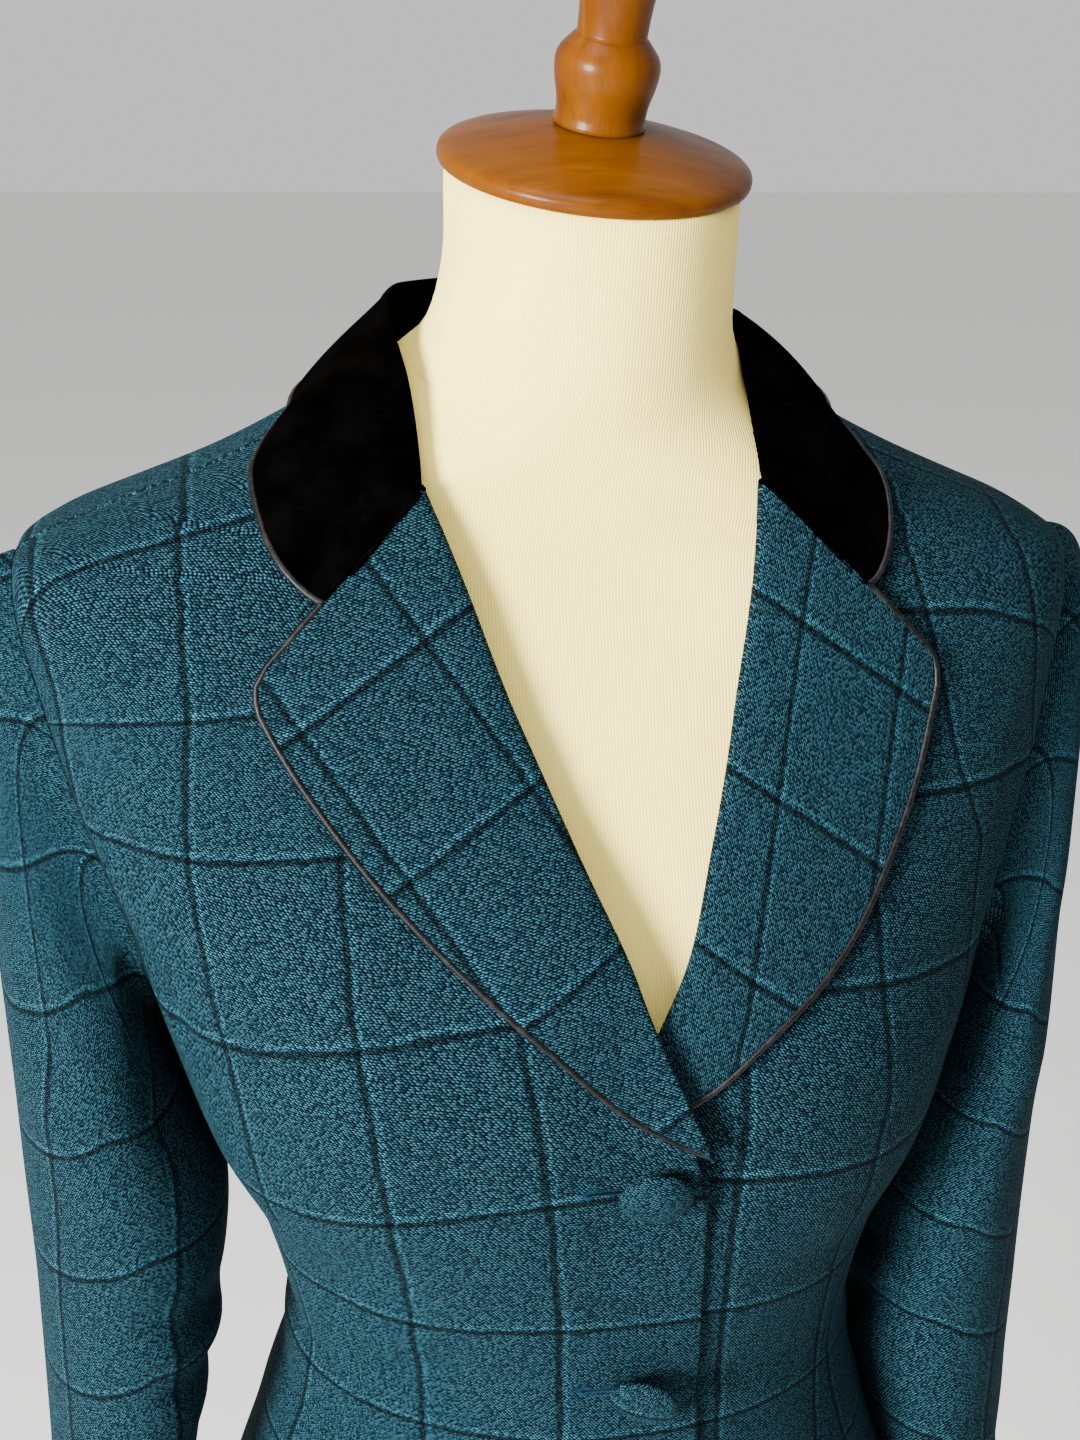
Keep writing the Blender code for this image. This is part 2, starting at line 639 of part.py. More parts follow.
def makeSleeve(side, material):
    armhole = armholeLine(side, 96)
    drops = stations((0.0, capShare, 6), (capShare, 1.0, 10))
    pieces = (("top_sleeve_", backSeamTurn - 360.0, frontSeamTurn, 14),
              ("under_sleeve_", frontSeamTurn, backSeamTurn, 7))
    for name, start, end, columns in pieces:
        rows = []
        for along in drops:
            gap = mix(1.6, 0.8, fade(along / 0.45))
            rows.append([sleevePoint(side, mix(start + gap, end - gap, share), along, armhole)
                         for share in shares(columns)])
        addCloth(name + sideName(side), rows, material, side, 0.0016)


def edgePath(pairs):
    """Points just off a cloth edge, from pairs of an edge point and the one inside it."""
    reach = pipingRadius + seamGap
    path = []
    for number, (edge, inside) in enumerate(pairs):
        along = pairs[min(number + 1, len(pairs) - 1)][0] - pairs[max(number - 1, 0)][0]
        out = edge - inside
        out -= along * out.dot(along) / along.length_squared
        path.append(edge + out.normalized() * reach)
    return path


def makePiping(material):
    for side in (-1, 1):
        outerLine = lapelOuterLine(side, lapelSteps)
        top = [(lapelPoint(side, 0.0, share, outerLine[0]), lapelPoint(side, 0.05, share, outerLine[1]))
               for share in stations((0.83, 0.95, 2))]
        corner = [(lapelPoint(side, 0.0, 1.0, outerLine[0]), lapelPoint(side, 0.1, 0.90, outerLine[2]))]
        outer = [(lapelPoint(side, along, 1.0, place), lapelPoint(side, along, 0.93, place))
                 for along, place in zip(shares(lapelSteps), outerLine)][1:]
        addPiping("lapel_piping_" + sideName(side), edgePath(top + corner + outer), material)
    pairs = [(collarPoint(side, along, 1.0), collarPoint(side, along, 0.94)) for side, along in collarPlaces()]
    addPiping("collar_piping", edgePath(pairs), material)


def standOn(thing, point, axis):
    thing.rotation_mode = "QUATERNION"
    thing.rotation_quaternion = Vector((0, 0, 1)).rotation_difference(axis)
    thing.location = point
    thing.parent = nape


def frontClothPoint(x, height):
    """Outer face of the lapped front beside the buttons."""
    return bodyPoint(angleAt(x, height), height, lapLift(-1, x, height))


def makeButtons(material):
    for number, height in enumerate(buttonHeights):
        x = closureAt(height)
        angle = angleAt(x, height)
        droop = math.radians(buttonDroop)
        face = bodyNormal(angle, height) * math.cos(droop) - Vector((0, 0, 1)) * math.sin(droop)
        face.normalize()
        middle = frontClothPoint(x, height)
        reach = buttonTurns[-2].radius
        rim = [frontClothPoint(x + reach * math.cos(turn), height + reach * math.sin(turn))
               for turn in (math.radians(step * 30) for step in range(12))]
        seat = max((point - middle).dot(face) for point in rim)
        button = addTurned(f"button_{number + 1}", buttonTurns, material, 16)
        standOn(button, middle + face * (max(seat, 0.0) + seamGap), face)


# The form and its stand
def makeForm(material):
    heights = stations((formBottom, -0.390, 7), (-0.390, armholeTurn, 6), (armholeTurn, -0.080, 4),
                       (-0.080, shoulderTipHeight, 2), (shoulderTipHeight, 0.010, 9), (0.010, neckTopHeight, 2))
    around = 32
    angles = [2 * math.pi * number / around for number in range(around)]
    points = [formPoint(math.atan2(math.sin(angle), math.cos(angle)), height)
              for height in heights for angle in angles]
    faces = []
    for row in range(len(heights) - 1):
        for number in range(around):
            after = (number + 1) % around
            low, high = row * around, (row + 1) * around
            faces.append((low + number, low + after, high + after, high + number))
    faces.append(tuple(range(around))[::-1])
    faces.append(tuple((len(heights) - 1) * around + number for number in range(around)))
    return addMesh("form_torso", points, faces, material)


def makeNeckTop(material):
    rim = [formPoint(math.radians(angle), neckTopHeight) for angle in range(-180, 180, 10)]
    middle = sum(rim, Vector()) / len(rim)
    axis = (rim[27] - middle).cross(rim[0] - middle).normalized()
    if axis.z < 0:
        axis = -axis
    cap = addTurned("neck_cap", capTurns, material, 28)
    standOn(cap, middle + axis * 0.0003, axis)
    finial = addTurned("finial", finialTurns, material, 20)
    standOn(finial, middle + axis * (capTurns[0].height + 0.0006), axis)


def makeStand(material):
    addTurned("stand_base", baseTurns, material, 30)
    top = napeHeight + formBottom - 0.0003
    foot = baseTurns[0].height + 0.0003
    bpy.ops.mesh.primitive_cylinder_add(vertices=20, radius=poleRadius, depth=top - foot,
                                        location=(0, 0, (top + foot) / 2))
    pole = bpy.context.active_object
    pole.name = "stand_pole"
    pole.data.materials.append(material)
    pole.data.shade_smooth()
    for holder in list(pole.users_collection):
        holder.objects.unlink(pole)
    coatCollection.objects.link(pole)


for thing in list(bpy.data.objects):
    bpy.data.objects.remove(thing)
coatCollection = newCollection("show_coat_on_form")
nape = bpy.data.objects.new("nape", None)
nape.location = (0.0, 0.0, napeHeight)
coatCollection.objects.link(nape)

cloth = finish("teal_check_cloth", (0.020, 0.105, 0.140), 0.85)
velvet = finish("black_velvet", (0.006, 0.005, 0.005), 0.95)
leather = finish("dark_piping", (0.020, 0.017, 0.016), 0.45)
jersey = finish("cream_jersey", (0.760, 0.660, 0.480), 0.80)
wood = finish("honey_wood", (0.360, 0.150, 0.040), 0.30)

for side in (-1, 1):
    makeFront(side, cloth)
    makeSide(side, cloth)
    makeBack(side, cloth)
    makeLapel(side, cloth)
    makeSleeve(side, cloth)
makeCollar(velvet)
makePiping(leather)
makeButtons(cloth)
makeForm(jersey)
makeNeckTop(wood)
makeStand(wood)
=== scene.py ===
# Show coat on a limbless dress form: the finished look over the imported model.
# Metres, +Z up, the coat's front towards -Y; heights are measured from the nape line.
import math
from collections import namedtuple
from functools import lru_cache

import bmesh
import bpy
from mathutils import Matrix, Vector


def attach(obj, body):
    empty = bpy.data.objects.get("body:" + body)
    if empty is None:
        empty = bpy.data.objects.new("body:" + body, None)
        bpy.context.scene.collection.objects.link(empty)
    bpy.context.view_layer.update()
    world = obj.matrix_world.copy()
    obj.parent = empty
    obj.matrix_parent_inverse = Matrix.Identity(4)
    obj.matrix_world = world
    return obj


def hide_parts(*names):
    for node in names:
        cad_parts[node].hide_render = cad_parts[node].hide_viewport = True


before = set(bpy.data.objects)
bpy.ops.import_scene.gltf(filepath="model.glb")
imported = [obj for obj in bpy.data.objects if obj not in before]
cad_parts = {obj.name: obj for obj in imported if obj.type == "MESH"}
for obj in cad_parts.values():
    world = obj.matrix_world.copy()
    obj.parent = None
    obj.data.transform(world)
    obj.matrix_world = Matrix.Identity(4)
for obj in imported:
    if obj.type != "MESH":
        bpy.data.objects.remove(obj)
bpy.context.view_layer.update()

napeHeight = 1.360
camera = {
    "turn": -9.5, "pitch": 19.0, "roll": 0.7, "distance": 0.760,
    "across": -0.012, "up": -0.139, "lens": 49.25, "sensor": 36.0,
}


def addObject(name, data):
    thing = bpy.data.objects.new(name, data)
    bpy.context.scene.collection.objects.link(thing)
    return thing


def addCamera():
    turn, pitch, roll = (math.radians(camera[key]) for key in ("turn", "pitch", "roll"))
    back = Vector((math.sin(turn) * math.cos(pitch), -math.cos(turn) * math.cos(pitch), math.sin(pitch)))
    place = Vector((math.cos(turn), math.sin(turn), 0)) * camera["across"]
    place.z = camera["up"] + napeHeight
    place += back * camera["distance"]
    right = (-back).cross(Vector((0, 0, 1))).normalized()
    top = right.cross(-back)
    columns = (right * math.cos(roll) + top * math.sin(roll), top * math.cos(roll) - right * math.sin(roll),
               back, place)
    lens = bpy.data.cameras.new("photo_view")
    lens.sensor_width = camera["sensor"]
    lens.lens = camera["lens"]
    lens.clip_start = 0.05
    thing = addObject("photo_view", lens)
    thing.matrix_world = Matrix([[column[row] for column in columns] for row in range(3)] + [[0, 0, 0, 1]])
    bpy.context.scene.camera = thing


addCamera()
print("camera set")


def tableOf(kind, *rows):
    return tuple(kind(*row) for row in rows)


# Sizes of the coat and form
clothWall = 0.0014
seamTuck = -0.0001
capGap = 0.0004
coatHem = -0.680
formBottom = -0.702
breakHeight = -0.249
necklineHeight = -0.003
napeDip = -0.024
shoulderTipHeight = -0.066
underarmHeight = -0.240
armholeTurn = -0.195
armholeCorner, armholeBackCorner = 70.0, 118.0  # where the armhole meets the side panel
overlapHalf = 0.020
buttonHeights = (-0.2695, -0.3650, -0.466)
neckTopHeight = 0.0685

# Body sections: half width, depths to front and back from the centre, squareness,
# rise of the plane from front to back, sideways shift
Section = namedtuple("Section", "height width front back centre square lean sway")
sections = tableOf(
    Section,
    (-0.71, 0.176, 0.139, 0.156, 0, 2.1, 0, 0),
    (-0.6, 0.165, 0.13, 0.146, 0, 2.1, 0, 0),
    (-0.5, 0.148, 0.119, 0.124, 0, 2.1, 0, 0.001),
    (-0.44, 0.13, 0.109, 0.105, 0, 2.1, 0, 0.001),
    (-0.385, 0.1175, 0.103, 0.093, 0, 2.15, 0, 0.002),
    (-0.335, 0.126, 0.109, 0.099, 0, 2.25, 0, 0.001),
    (-0.29, 0.144, 0.116, 0.108, 0, 2.45, 0, -0.001),
    (-0.25, 0.156, 0.116, 0.113, 0, 2.5, 0, -0.002),
    (-0.205, 0.1672, 0.111, 0.119, 0, 2.6, 0, -0.0045),
    (-0.15, 0.183, 0.097, 0.121, 0.001, 2.8, 0.02, -0.007),
    (-0.11, 0.192, 0.085, 0.115, 0.002, 2.9, 0.04, -0.008),
    (-0.08, 0.197, 0.076, 0.103, 0.003, 2.8, 0.05, -0.008),
    (-0.068, 0.196, 0.072, 0.096, 0.003, 2.7, 0.06, -0.008),
    (-0.06, 0.186, 0.07, 0.091, 0.003, 2.6, 0.06, -0.008),
    (-0.05, 0.163, 0.068, 0.086, 0.003, 2.5, 0.06, -0.007),
    (-0.039, 0.135, 0.066, 0.081, 0.003, 2.4, 0.08, -0.005),
    (-0.026, 0.107, 0.065, 0.076, 0.003, 2.3, 0.12, -0.004),
    (-0.014, 0.085, 0.064, 0.071, 0.002, 2.2, 0.18, -0.002),
    (-0.003, 0.07, 0.062, 0.066, 0.001, 2.1, 0.24, -0.001),
    (0.008, 0.0612, 0.061, 0.061, -0.001, 2, 0.26, 0.001),
    (0.022, 0.0582, 0.059, 0.059, -0.003, 2, 0.26, 0.002),
    (0.072, 0.056, 0.0565, 0.0565, -0.01, 2, 0.23, 0.004),
)
neckTip = 0.050
bust = {"side": 0.078, "height": -0.240, "wide": 0.060, "tall": 0.072, "depth": 0.011}

Ease = namedtuple("Ease", "height side front")
formEase = tableOf(
    Ease,
    (-0.71, 0.016, 0.016), (-0.55, 0.012, 0.012), (-0.39, 0.007, 0.008), (-0.255, 0.006, 0.0065),
    (-0.15, 0.005, 0.007), (-0.07, 0.0048, 0.007), (-0.003, 0.0028, 0.005), (0.02, 0.0028, 0.0028),
    (0.072, 0.0028, 0.0028),
)
Closure = namedtuple("Closure", "height shift")
closureLine = tableOf(
    Closure,
    (-0.69, 0.018), (-0.45, 0.017), (-0.37, 0.014), (-0.27, 0.01), (-0.2, 0.011), (-0.15, 0.005),
    (-0.1, -0.002), (-0.035, -0.004),
)
Roll = namedtuple("Roll", "height side shift")
rollLine = tableOf(
    Roll,
    (-0.249, -0.0165, 0), (-0.215, 0, 0), (-0.182, 0.014, 0.001), (-0.146, 0.0265, 0.0032),
    (-0.112, 0.0375, 0.0052), (-0.074, 0.0485, 0.0042), (-0.035, 0.058, 0),
)
Edge = namedtuple("Edge", "height side")
lapelEdge = tableOf(
    Edge,
    (-0.2545, -0.019), (-0.234, 0.018), (-0.216, 0.038), (-0.198, 0.0575), (-0.178, 0.076), (-0.153, 0.094),
    (-0.13, 0.107), (-0.112, 0.115), (-0.103, 0.118), (-0.096, 0.1175), (-0.0905, 0.1135),
)
notch = Edge(-0.0705, 0.0940)
Fold = namedtuple("Fold", "inward out")
lapelRoll = tableOf(
    Fold,
    (0.007, -0.0023), (0.0042, -0.0023), (0.001, -0.0012), (-0.0005, 0.0012), (-0.0005, 0.0036),
    (0.001, 0.0056), (0.004, 0.0064),
)
rollShare = 0.42
rollSetback = 0.0034
lapelGap = 0.0003
panelLift = 0.0025
lapelEdgeOut = 0.0046

# Collar from the centre back, 0, to the gorge, 1
CollarFold = namedtuple("CollarFold", "along x y z")
collarFold = tableOf(
    CollarFold,
    (0, 0, 0.07, 0.02), (0.2, 0.031, 0.0635, 0.0206), (0.4, 0.056, 0.043, 0.0208),
    (0.6, 0.0638, 0.009, 0.015), (0.8, 0.06, -0.029, -0.003), (1, 0.056, -0.061, -0.035),
)
CollarEdge = namedtuple("CollarEdge", "along angle height")
collarEdges = {
    -1: tableOf(
        CollarEdge,
        (0, 180, -0.036), (0.2, 152, -0.036), (0.4, 134, -0.0266), (0.5, 117, -0.0212), (0.6, 94, -0.0216),
        (0.7, 77.5, -0.0278), (0.75, 69.4, -0.0315), (0.8, 59.6, -0.0365), (0.85, 48.6, -0.0437),
        (0.9, 38.2, -0.0515), (0.95, 29.6, -0.059), (0.98, 24.6, -0.0634), (1, 22, -0.0666),
    ),
    1: tableOf(
        CollarEdge,
        (0, 180, -0.036), (0.2, 152, -0.035), (0.4, 124, -0.0268), (0.5, 102, -0.02), (0.6, 79, -0.0188),
        (0.7, 64, -0.0269), (0.75, 57.3, -0.0324), (0.8, 50.4, -0.0388), (0.85, 42.8, -0.0463),
        (0.9, 35.5, -0.0548), (0.95, 29.4, -0.0622), (0.98, 25.6, -0.0652), (1, 22, -0.0666),
    ),
}
CollarFoot = namedtuple("CollarFoot", "along angle height out")
collarFoot = tableOf(
    CollarFoot,
    (0, 180, -0.02, 0.001), (0.2, 150, -0.0165, 0.0008), (0.4, 120, -0.0065, 0.0006),
    (0.6, 90, -0.0015, 0.0006), (0.8, 68, -0.006, 0.0016), (1, 52, -0.027, 0.003),
)
collarSway = -0.003
collarEdgeOut = 0.0050
collarBackOut = 0.0058
standShare, foldShare = 0.28, 0.52

# Sleeve below the cap: centre, half sizes, turn, and how much more each sleeve reaches in and out
Ring = namedtuple("Ring", "height x y wide deep turn rightIn rightOut leftIn leftOut")
sleeveRings = tableOf(
    Ring,
    (-0.27, 0.1855, 0, 0.0243, 0.066, 6, 0.013, 0.002, 0, -0.0055),
    (-0.31, 0.179, 0.002, 0.0305, 0.064, 9, 0.016, 0.0015, 0, -0.003),
    (-0.38, 0.1755, 0.003, 0.0335, 0.06, 12, 0.0035, 0, 0.0068, -0.001),
    (-0.43, 0.179, 0.004, 0.0297, 0.058, 14, 0, 0, 0.0116, 0),
    (-0.48, 0.1835, 0, 0.026, 0.056, 14, 0, 0, 0.0065, -0.002),
    (-0.53, 0.1925, -0.012, 0.025, 0.054, 12, 0, 0, 0.002, -0.001),
    (-0.59, 0.2035, -0.022, 0.0245, 0.052, 9, 0, 0, 0, 0),
    (-0.655, 0.211, -0.033, 0.024, 0.05, 6, 0, 0, 0, 0),
)
sleeveSway = -0.0072
capShare = 0.36
frontSeamTurn = 120.0
backSeamTurn = 240.0


def tableAt(rows, key, column, keyColumn=0):
    # smooth value of one column where the key column has the given value
    step = 1 if rows[-1][keyColumn] > rows[0][keyColumn] else -1
    ordered = rows[::step]
    last = len(ordered) - 1
    index = 0
    while index < last - 1 and key > ordered[index + 1][keyColumn]:
        index += 1

    def slope(at):
        low, here, high = ordered[max(at - 1, 0)], ordered[at], ordered[min(at + 1, last)]
        if low is here or high is here:
            return (high[column] - low[column]) / (high[keyColumn] - low[keyColumn])
        before = (here[column] - low[column]) / (here[keyColumn] - low[keyColumn])
        after = (high[column] - here[column]) / (high[keyColumn] - here[keyColumn])
        return 0.0 if before * after <= 0 else 2 * before * after / (before + after)

    low, high = ordered[index], ordered[index + 1]
    gap = high[keyColumn] - low[keyColumn]
    s = (key - low[keyColumn]) / gap
    start = (2 * s ** 3 - 3 * s ** 2 + 1) * low[column] + (s ** 3 - 2 * s ** 2 + s) * gap * slope(index)
    end = (3 * s ** 2 - 2 * s ** 3) * high[column] + (s ** 3 - s ** 2) * gap * slope(index + 1)
    return start + end


def mix(low, high, share):
    return low + (high - low) * share


def fade(value):  # smooth step from 0 to 1
    value = min(max(value, 0.0), 1.0)
    return value * value * (3 - 2 * value)


def bump(distance, wide):
    return math.exp(-(distance / wide) ** 2)


def straightAt(rows, key, column):  # value between two rows of a table, past its ends as well
    last = len(rows) - 2
    index = 0
    while index < last and (key - rows[index + 1][0]) * (rows[-1][0] - rows[0][0]) > 0:
        index += 1
    low, high = rows[index], rows[index + 1]
    return mix(low[column], high[column], (key - low[0]) / (high[0] - low[0]))


# Sections are read once for each millimetre of height and mixed between
sectionFoot, sectionStep, sectionCount = -0.712, 0.001, 790
sectionRows = [Section(*[tableAt(sections, sectionFoot + sectionStep * number, column) for column in range(8)])
               for number in range(sectionCount)]


@lru_cache(maxsize=20000)
def sectionAt(height):
    place = min(max((height - sectionFoot) / sectionStep, 0.0), len(sectionRows) - 1.001)
    low, high = sectionRows[int(place)], sectionRows[int(place) + 1]
    return Section(*[mix(one, two, place - int(place)) for one, two in zip(low, high)])


@lru_cache(maxsize=200000)
def baseAt(angle, height):
    row = sectionAt(height)
    sine, cosine = math.sin(angle), math.cos(angle)
    x = row.width * math.copysign(abs(sine) ** (2 / row.square), sine)
    depth = row.front if cosine > 0 else row.back
    y = row.centre - depth * math.copysign(abs(cosine) ** (2 / row.square), cosine)
    if cosine > 0:
        across = (abs(x) - bust["side"]) / bust["wide"]
        up = (height - bust["height"]) / bust["tall"]
        y -= bust["depth"] * math.exp(-across ** 2 - up ** 2)
    z = height + row.lean * y - neckTip * x * fade(height / neckTopHeight)
    return (x + row.sway, y, z)


def bodyBase(angle, height):
    return Vector(baseAt(angle, height))


def bodyNormal(angle, height):
    turn, rise = 0.02, 0.003  # reach of the slopes that it is read from
    along = bodyBase(angle + turn, height) - bodyBase(angle - turn, height)
    up = bodyBase(angle, height + rise) - bodyBase(angle, height - rise)
    return along.cross(up).normalized()


def bodyPoint(angle, height, out=0.0):
    return bodyBase(angle, height) + bodyNormal(angle, height) * out


def angleAt(x, height):
    row = sectionAt(height)
    reach = min(abs(x - row.sway) / row.width, 1.0)
    return math.copysign(math.asin(reach ** (row.square / 2)), x - row.sway)


def frontPlace(x, z):
    height = z
    for _ in range(6):
        y = bodyBase(angleAt(x, height), height).y
        height = z - sectionAt(height).lean * y
    return angleAt(x, height), height


@lru_cache(maxsize=5000)
def closureAt(z):
    return tableAt(closureLine, z, 1)


def spread(places, count, toPoint=Vector):
    # the same line of places with equal distances between the points that they stand for
    points = [toPoint(place) for place in places]
    reach = [0.0]
    for one, two in zip(points, points[1:]):
        reach.append(reach[-1] + (two - one).length)
    result = []
    at = 0
    for number in range(count):
        goal = reach[-1] * number / (count - 1)
        while at < len(places) - 2 and reach[at + 1] < goal:
            at += 1
        share = (goal - reach[at]) / max(reach[at + 1] - reach[at], 1e-9)
        result.append([mix(low, high, share) for low, high in zip(places[at], places[at + 1])])
    return result


# Seams between the panels, as angles round the body: straight up to the waist, then out to the armhole
def frontSeam(height):
    return math.radians(mix(50.0, armholeCorner, fade((height + 0.41) / 0.215)))


def backSeam(height):
    return math.radians(mix(128.0, armholeBackCorner, fade((height + 0.41) / 0.245)))


def armholeFront(height):
    up = (height - armholeTurn) / (shoulderTipHeight - armholeTurn)
    return math.radians(armholeCorner + 5.0 * up + 15.0 * up ** 6)


def armholeBack(height):
    up = (height - armholeTurn) / (shoulderTipHeight - armholeTurn)
    return math.radians(armholeBackCorner - 8.0 * up - 20.0 * up ** 6)


def underarm(angle):
    away = math.degrees(angle) - 90.0
    away /= armholeBackCorner - 90.0 if away > 0 else 90.0 - armholeCorner
    return mix(underarmHeight, armholeTurn, min(abs(away), 1.0) ** 2.2)


def armholeLine(side, count):
    # round the armhole from the shoulder's tip, down the front and up the back
    down = [mix(shoulderTipHeight, armholeTurn, share ** 1.6) for share in shares(24)]
    turns = [math.radians(mix(armholeCorner, armholeBackCorner, share)) for share in shares(48)]
    line = [(side * armholeFront(height), height) for height in down[:-1]]
    line += [(side * turn, underarm(turn)) for turn in turns[:-1]]
    line += [(side * armholeBack(height), height) for height in down[::-1]]
    return spread(line, count + 1, lambda place: bodyPoint(*place))


def shares(count):
    return [number / count for number in range(count + 1)]


# Creases laid one by one: a line from one place to another, angle in degrees and height,
# its half width and its rise, below 0 for a trough
Crease = namedtuple("Crease", "turn height endTurn endHeight wide rise")
bodyCreases = tableOf(
    Crease,
    (-24, -0.296, -62, -0.352, 0.011, -0.0011), (22, -0.302, 58, -0.35, 0.01, -0.001),
    (-20, -0.33, -66, -0.372, 0.01, 0.001), (-14, -0.362, -48, -0.372, 0.006, -0.0008),
    (10, -0.366, 44, -0.38, 0.007, -0.0009), (-9, -0.28, -34, -0.268, 0.006, -0.0006),
    (-70, -0.381, -112, -0.368, 0.0075, -0.0019), (-64, -0.398, -106, -0.392, 0.008, 0.0013),
    (-74, -0.412, -104, -0.408, 0.007, -0.0013), (70, -0.376, 116, -0.37, 0.008, -0.002),
    (66, -0.394, 110, -0.39, 0.0075, 0.0014), (78, -0.41, 102, -0.412, 0.006, -0.0011),
    (142, -0.366, 206, -0.372, 0.0085, -0.0022), (150, -0.386, 214, -0.389, 0.008, 0.0016),
    (156, -0.404, 196, -0.402, 0.007, -0.0013), (132, -0.34, 160, -0.352, 0.009, -0.0012),
    (-130, -0.336, -162, -0.35, 0.0085, -0.0013), (-66, -0.205, -58, -0.262, 0.009, -0.0015),
    (-60, -0.11, -56, -0.185, 0.013, -0.0012), (66, -0.208, 60, -0.266, 0.009, -0.0014),
    (60, -0.118, 55, -0.188, 0.012, -0.0011), (112, -0.2, 122, -0.27, 0.011, -0.0018),
    (-112, -0.204, -120, -0.262, 0.011, -0.0016), (124, -0.12, 130, -0.215, 0.015, 0.0016),
    (-122, -0.116, -131, -0.222, 0.015, 0.0017), (140, -0.15, 158, -0.24, 0.016, -0.0012),
    (-142, -0.146, -156, -0.232, 0.016, -0.0011), (29, -0.7, 27, -0.5, 0.02, 0.003),
    (-31, -0.7, -28, -0.515, 0.019, 0.0028), (51, -0.7, 46, -0.54, 0.018, -0.0026),
    (-52, -0.7, -49, -0.53, 0.018, -0.0028), (74, -0.7, 76, -0.48, 0.022, 0.0042),
    (-77, -0.7, -79, -0.49, 0.023, 0.004), (98, -0.7, 96, -0.54, 0.019, -0.0034),
    (-99, -0.7, -97, -0.55, 0.019, -0.0032), (121, -0.7, 119, -0.48, 0.022, 0.0044),
    (-120, -0.7, -122, -0.485, 0.022, 0.0046), (143, -0.7, 141, -0.56, 0.019, -0.0034),
    (-144, -0.7, -142, -0.56, 0.019, -0.0036), (164, -0.7, 163, -0.5, 0.021, 0.0038),
    (-165, -0.7, -163, -0.51, 0.021, 0.0036),
)
sleeveCreases = tableOf(
    Crease,
    (78, -0.352, 158, -0.374, 0.008, -0.0022), (84, -0.372, 176, -0.392, 0.0075, 0.0019),
    (92, -0.392, 186, -0.408, 0.007, -0.0021), (70, -0.33, 130, -0.35, 0.009, 0.0013),
    (96, -0.414, 170, -0.424, 0.0075, 0.0012), (236, -0.34, 318, -0.362, 0.012, 0.0018),
    (250, -0.392, 320, -0.38, 0.01, -0.0014), (40, -0.205, 96, -0.29, 0.012, -0.0014),
    (58, -0.18, 112, -0.24, 0.011, 0.001), (262, -0.2, 300, -0.3, 0.015, -0.0017),
    (286, -0.15, 322, -0.26, 0.015, 0.0014), (30, -0.52, 84, -0.6, 0.012, -0.0014),
    (250, -0.5, 310, -0.59, 0.013, -0.0014), (140, -0.48, 210, -0.52, 0.011, -0.0014),
    (10, -0.44, 60, -0.5, 0.012, 0.001), (334, -0.11, 352, -0.22, 0.012, 0.001),
    (186, -0.3, 226, -0.33, 0.011, -0.0015), (300, -0.6, 345, -0.64, 0.01, 0.001),
)


def creaseAt(creases, turn, height, girth):
    # sum of the creases at a place; girth is metres for each radian of turn
    total = 0.0
    scale = math.radians(1.0) * girth
    past = 0.35  # how far a crease runs past its ends
    for row in creases:
        spanTurn, spanHeight = (row.endTurn - row.turn) * scale, row.endHeight - row.height
        offTurn, offHeight = (turn - row.turn) * scale, height - row.height
        length = math.hypot(spanTurn, spanHeight)
        share = (offTurn * spanTurn + offHeight * spanHeight) / length ** 2
        if not -past < share < 1 + past:
            continue
        away = (offTurn * spanHeight - offHeight * spanTurn) / length
        wave = 0.22 * row.wide * math.sin(share * 7.0 + row.turn)  # a crease never runs straight
        ends = fade(share / past + 0.4) * fade((1 - share) / past + 0.4)
        total += row.rise * bump(away + wave, row.wide * mix(0.8, 1.2, share)) * ends
    return total


def bodyCrease(angle, height):
    turn, girth = math.degrees(angle), 0.14
    total = creaseAt(bodyCreases, turn, height, girth)
    if abs(turn) > 130:  # creases that cross the centre back
        total += creaseAt(bodyCreases, turn + math.copysign(360, -turn), height, girth)
    return total


# Cloth sheets
edgeRows = (0.0, 0.00035, 0.0008, 0.0014, 0.0024, 0.0038)  # close rows where an edge rolls over


def edgeShares(count, length, low=True, high=True):
    # even shares of a length, with close rows at its low and high ends
    start = [place / length for place in edgeRows] if low else [0.0]
    end = [1 - place / length for place in edgeRows[::-1]] if high else [1.0]
    inner = [mix(start[-1], end[0], share) for share in shares(count)][1:-1]
    return start + inner + end


def normalsOf(rows, outside):
    result = []
    for j, row in enumerate(rows):
        below, above = rows[max(j - 1, 0)], rows[min(j + 1, len(rows) - 1)]
        line = []
        for i in range(len(row)):
            across = row[min(i + 1, len(row) - 1)] - row[max(i - 1, 0)]
            line.append((across.cross(above[i] - below[i]) * outside).normalized())
        result.append(line)
    return result


def reachesOf(rows):
    # distances of each point from the start of its row and of its column
    wide, tall = len(rows[0]), len(rows)
    across = [[0.0] * wide for _ in rows]
    along = [[0.0] * wide for _ in rows]
    for j in range(tall):
        for i in range(1, wide):
            across[j][i] = across[j][i - 1] + (rows[j][i] - rows[j][i - 1]).length
    for i in range(wide):
        for j in range(1, tall):
            along[j][i] = along[j - 1][i] + (rows[j][i] - rows[j - 1][i]).length
    return across, along


def edgeDrop(distance, radius):
    if distance >= radius or radius <= 0:
        return 0.0
    return radius * (1 - math.sqrt(max(1 - (1 - distance / radius) ** 2, 0.0)))


Hem = namedtuple("Hem", "start end low high")


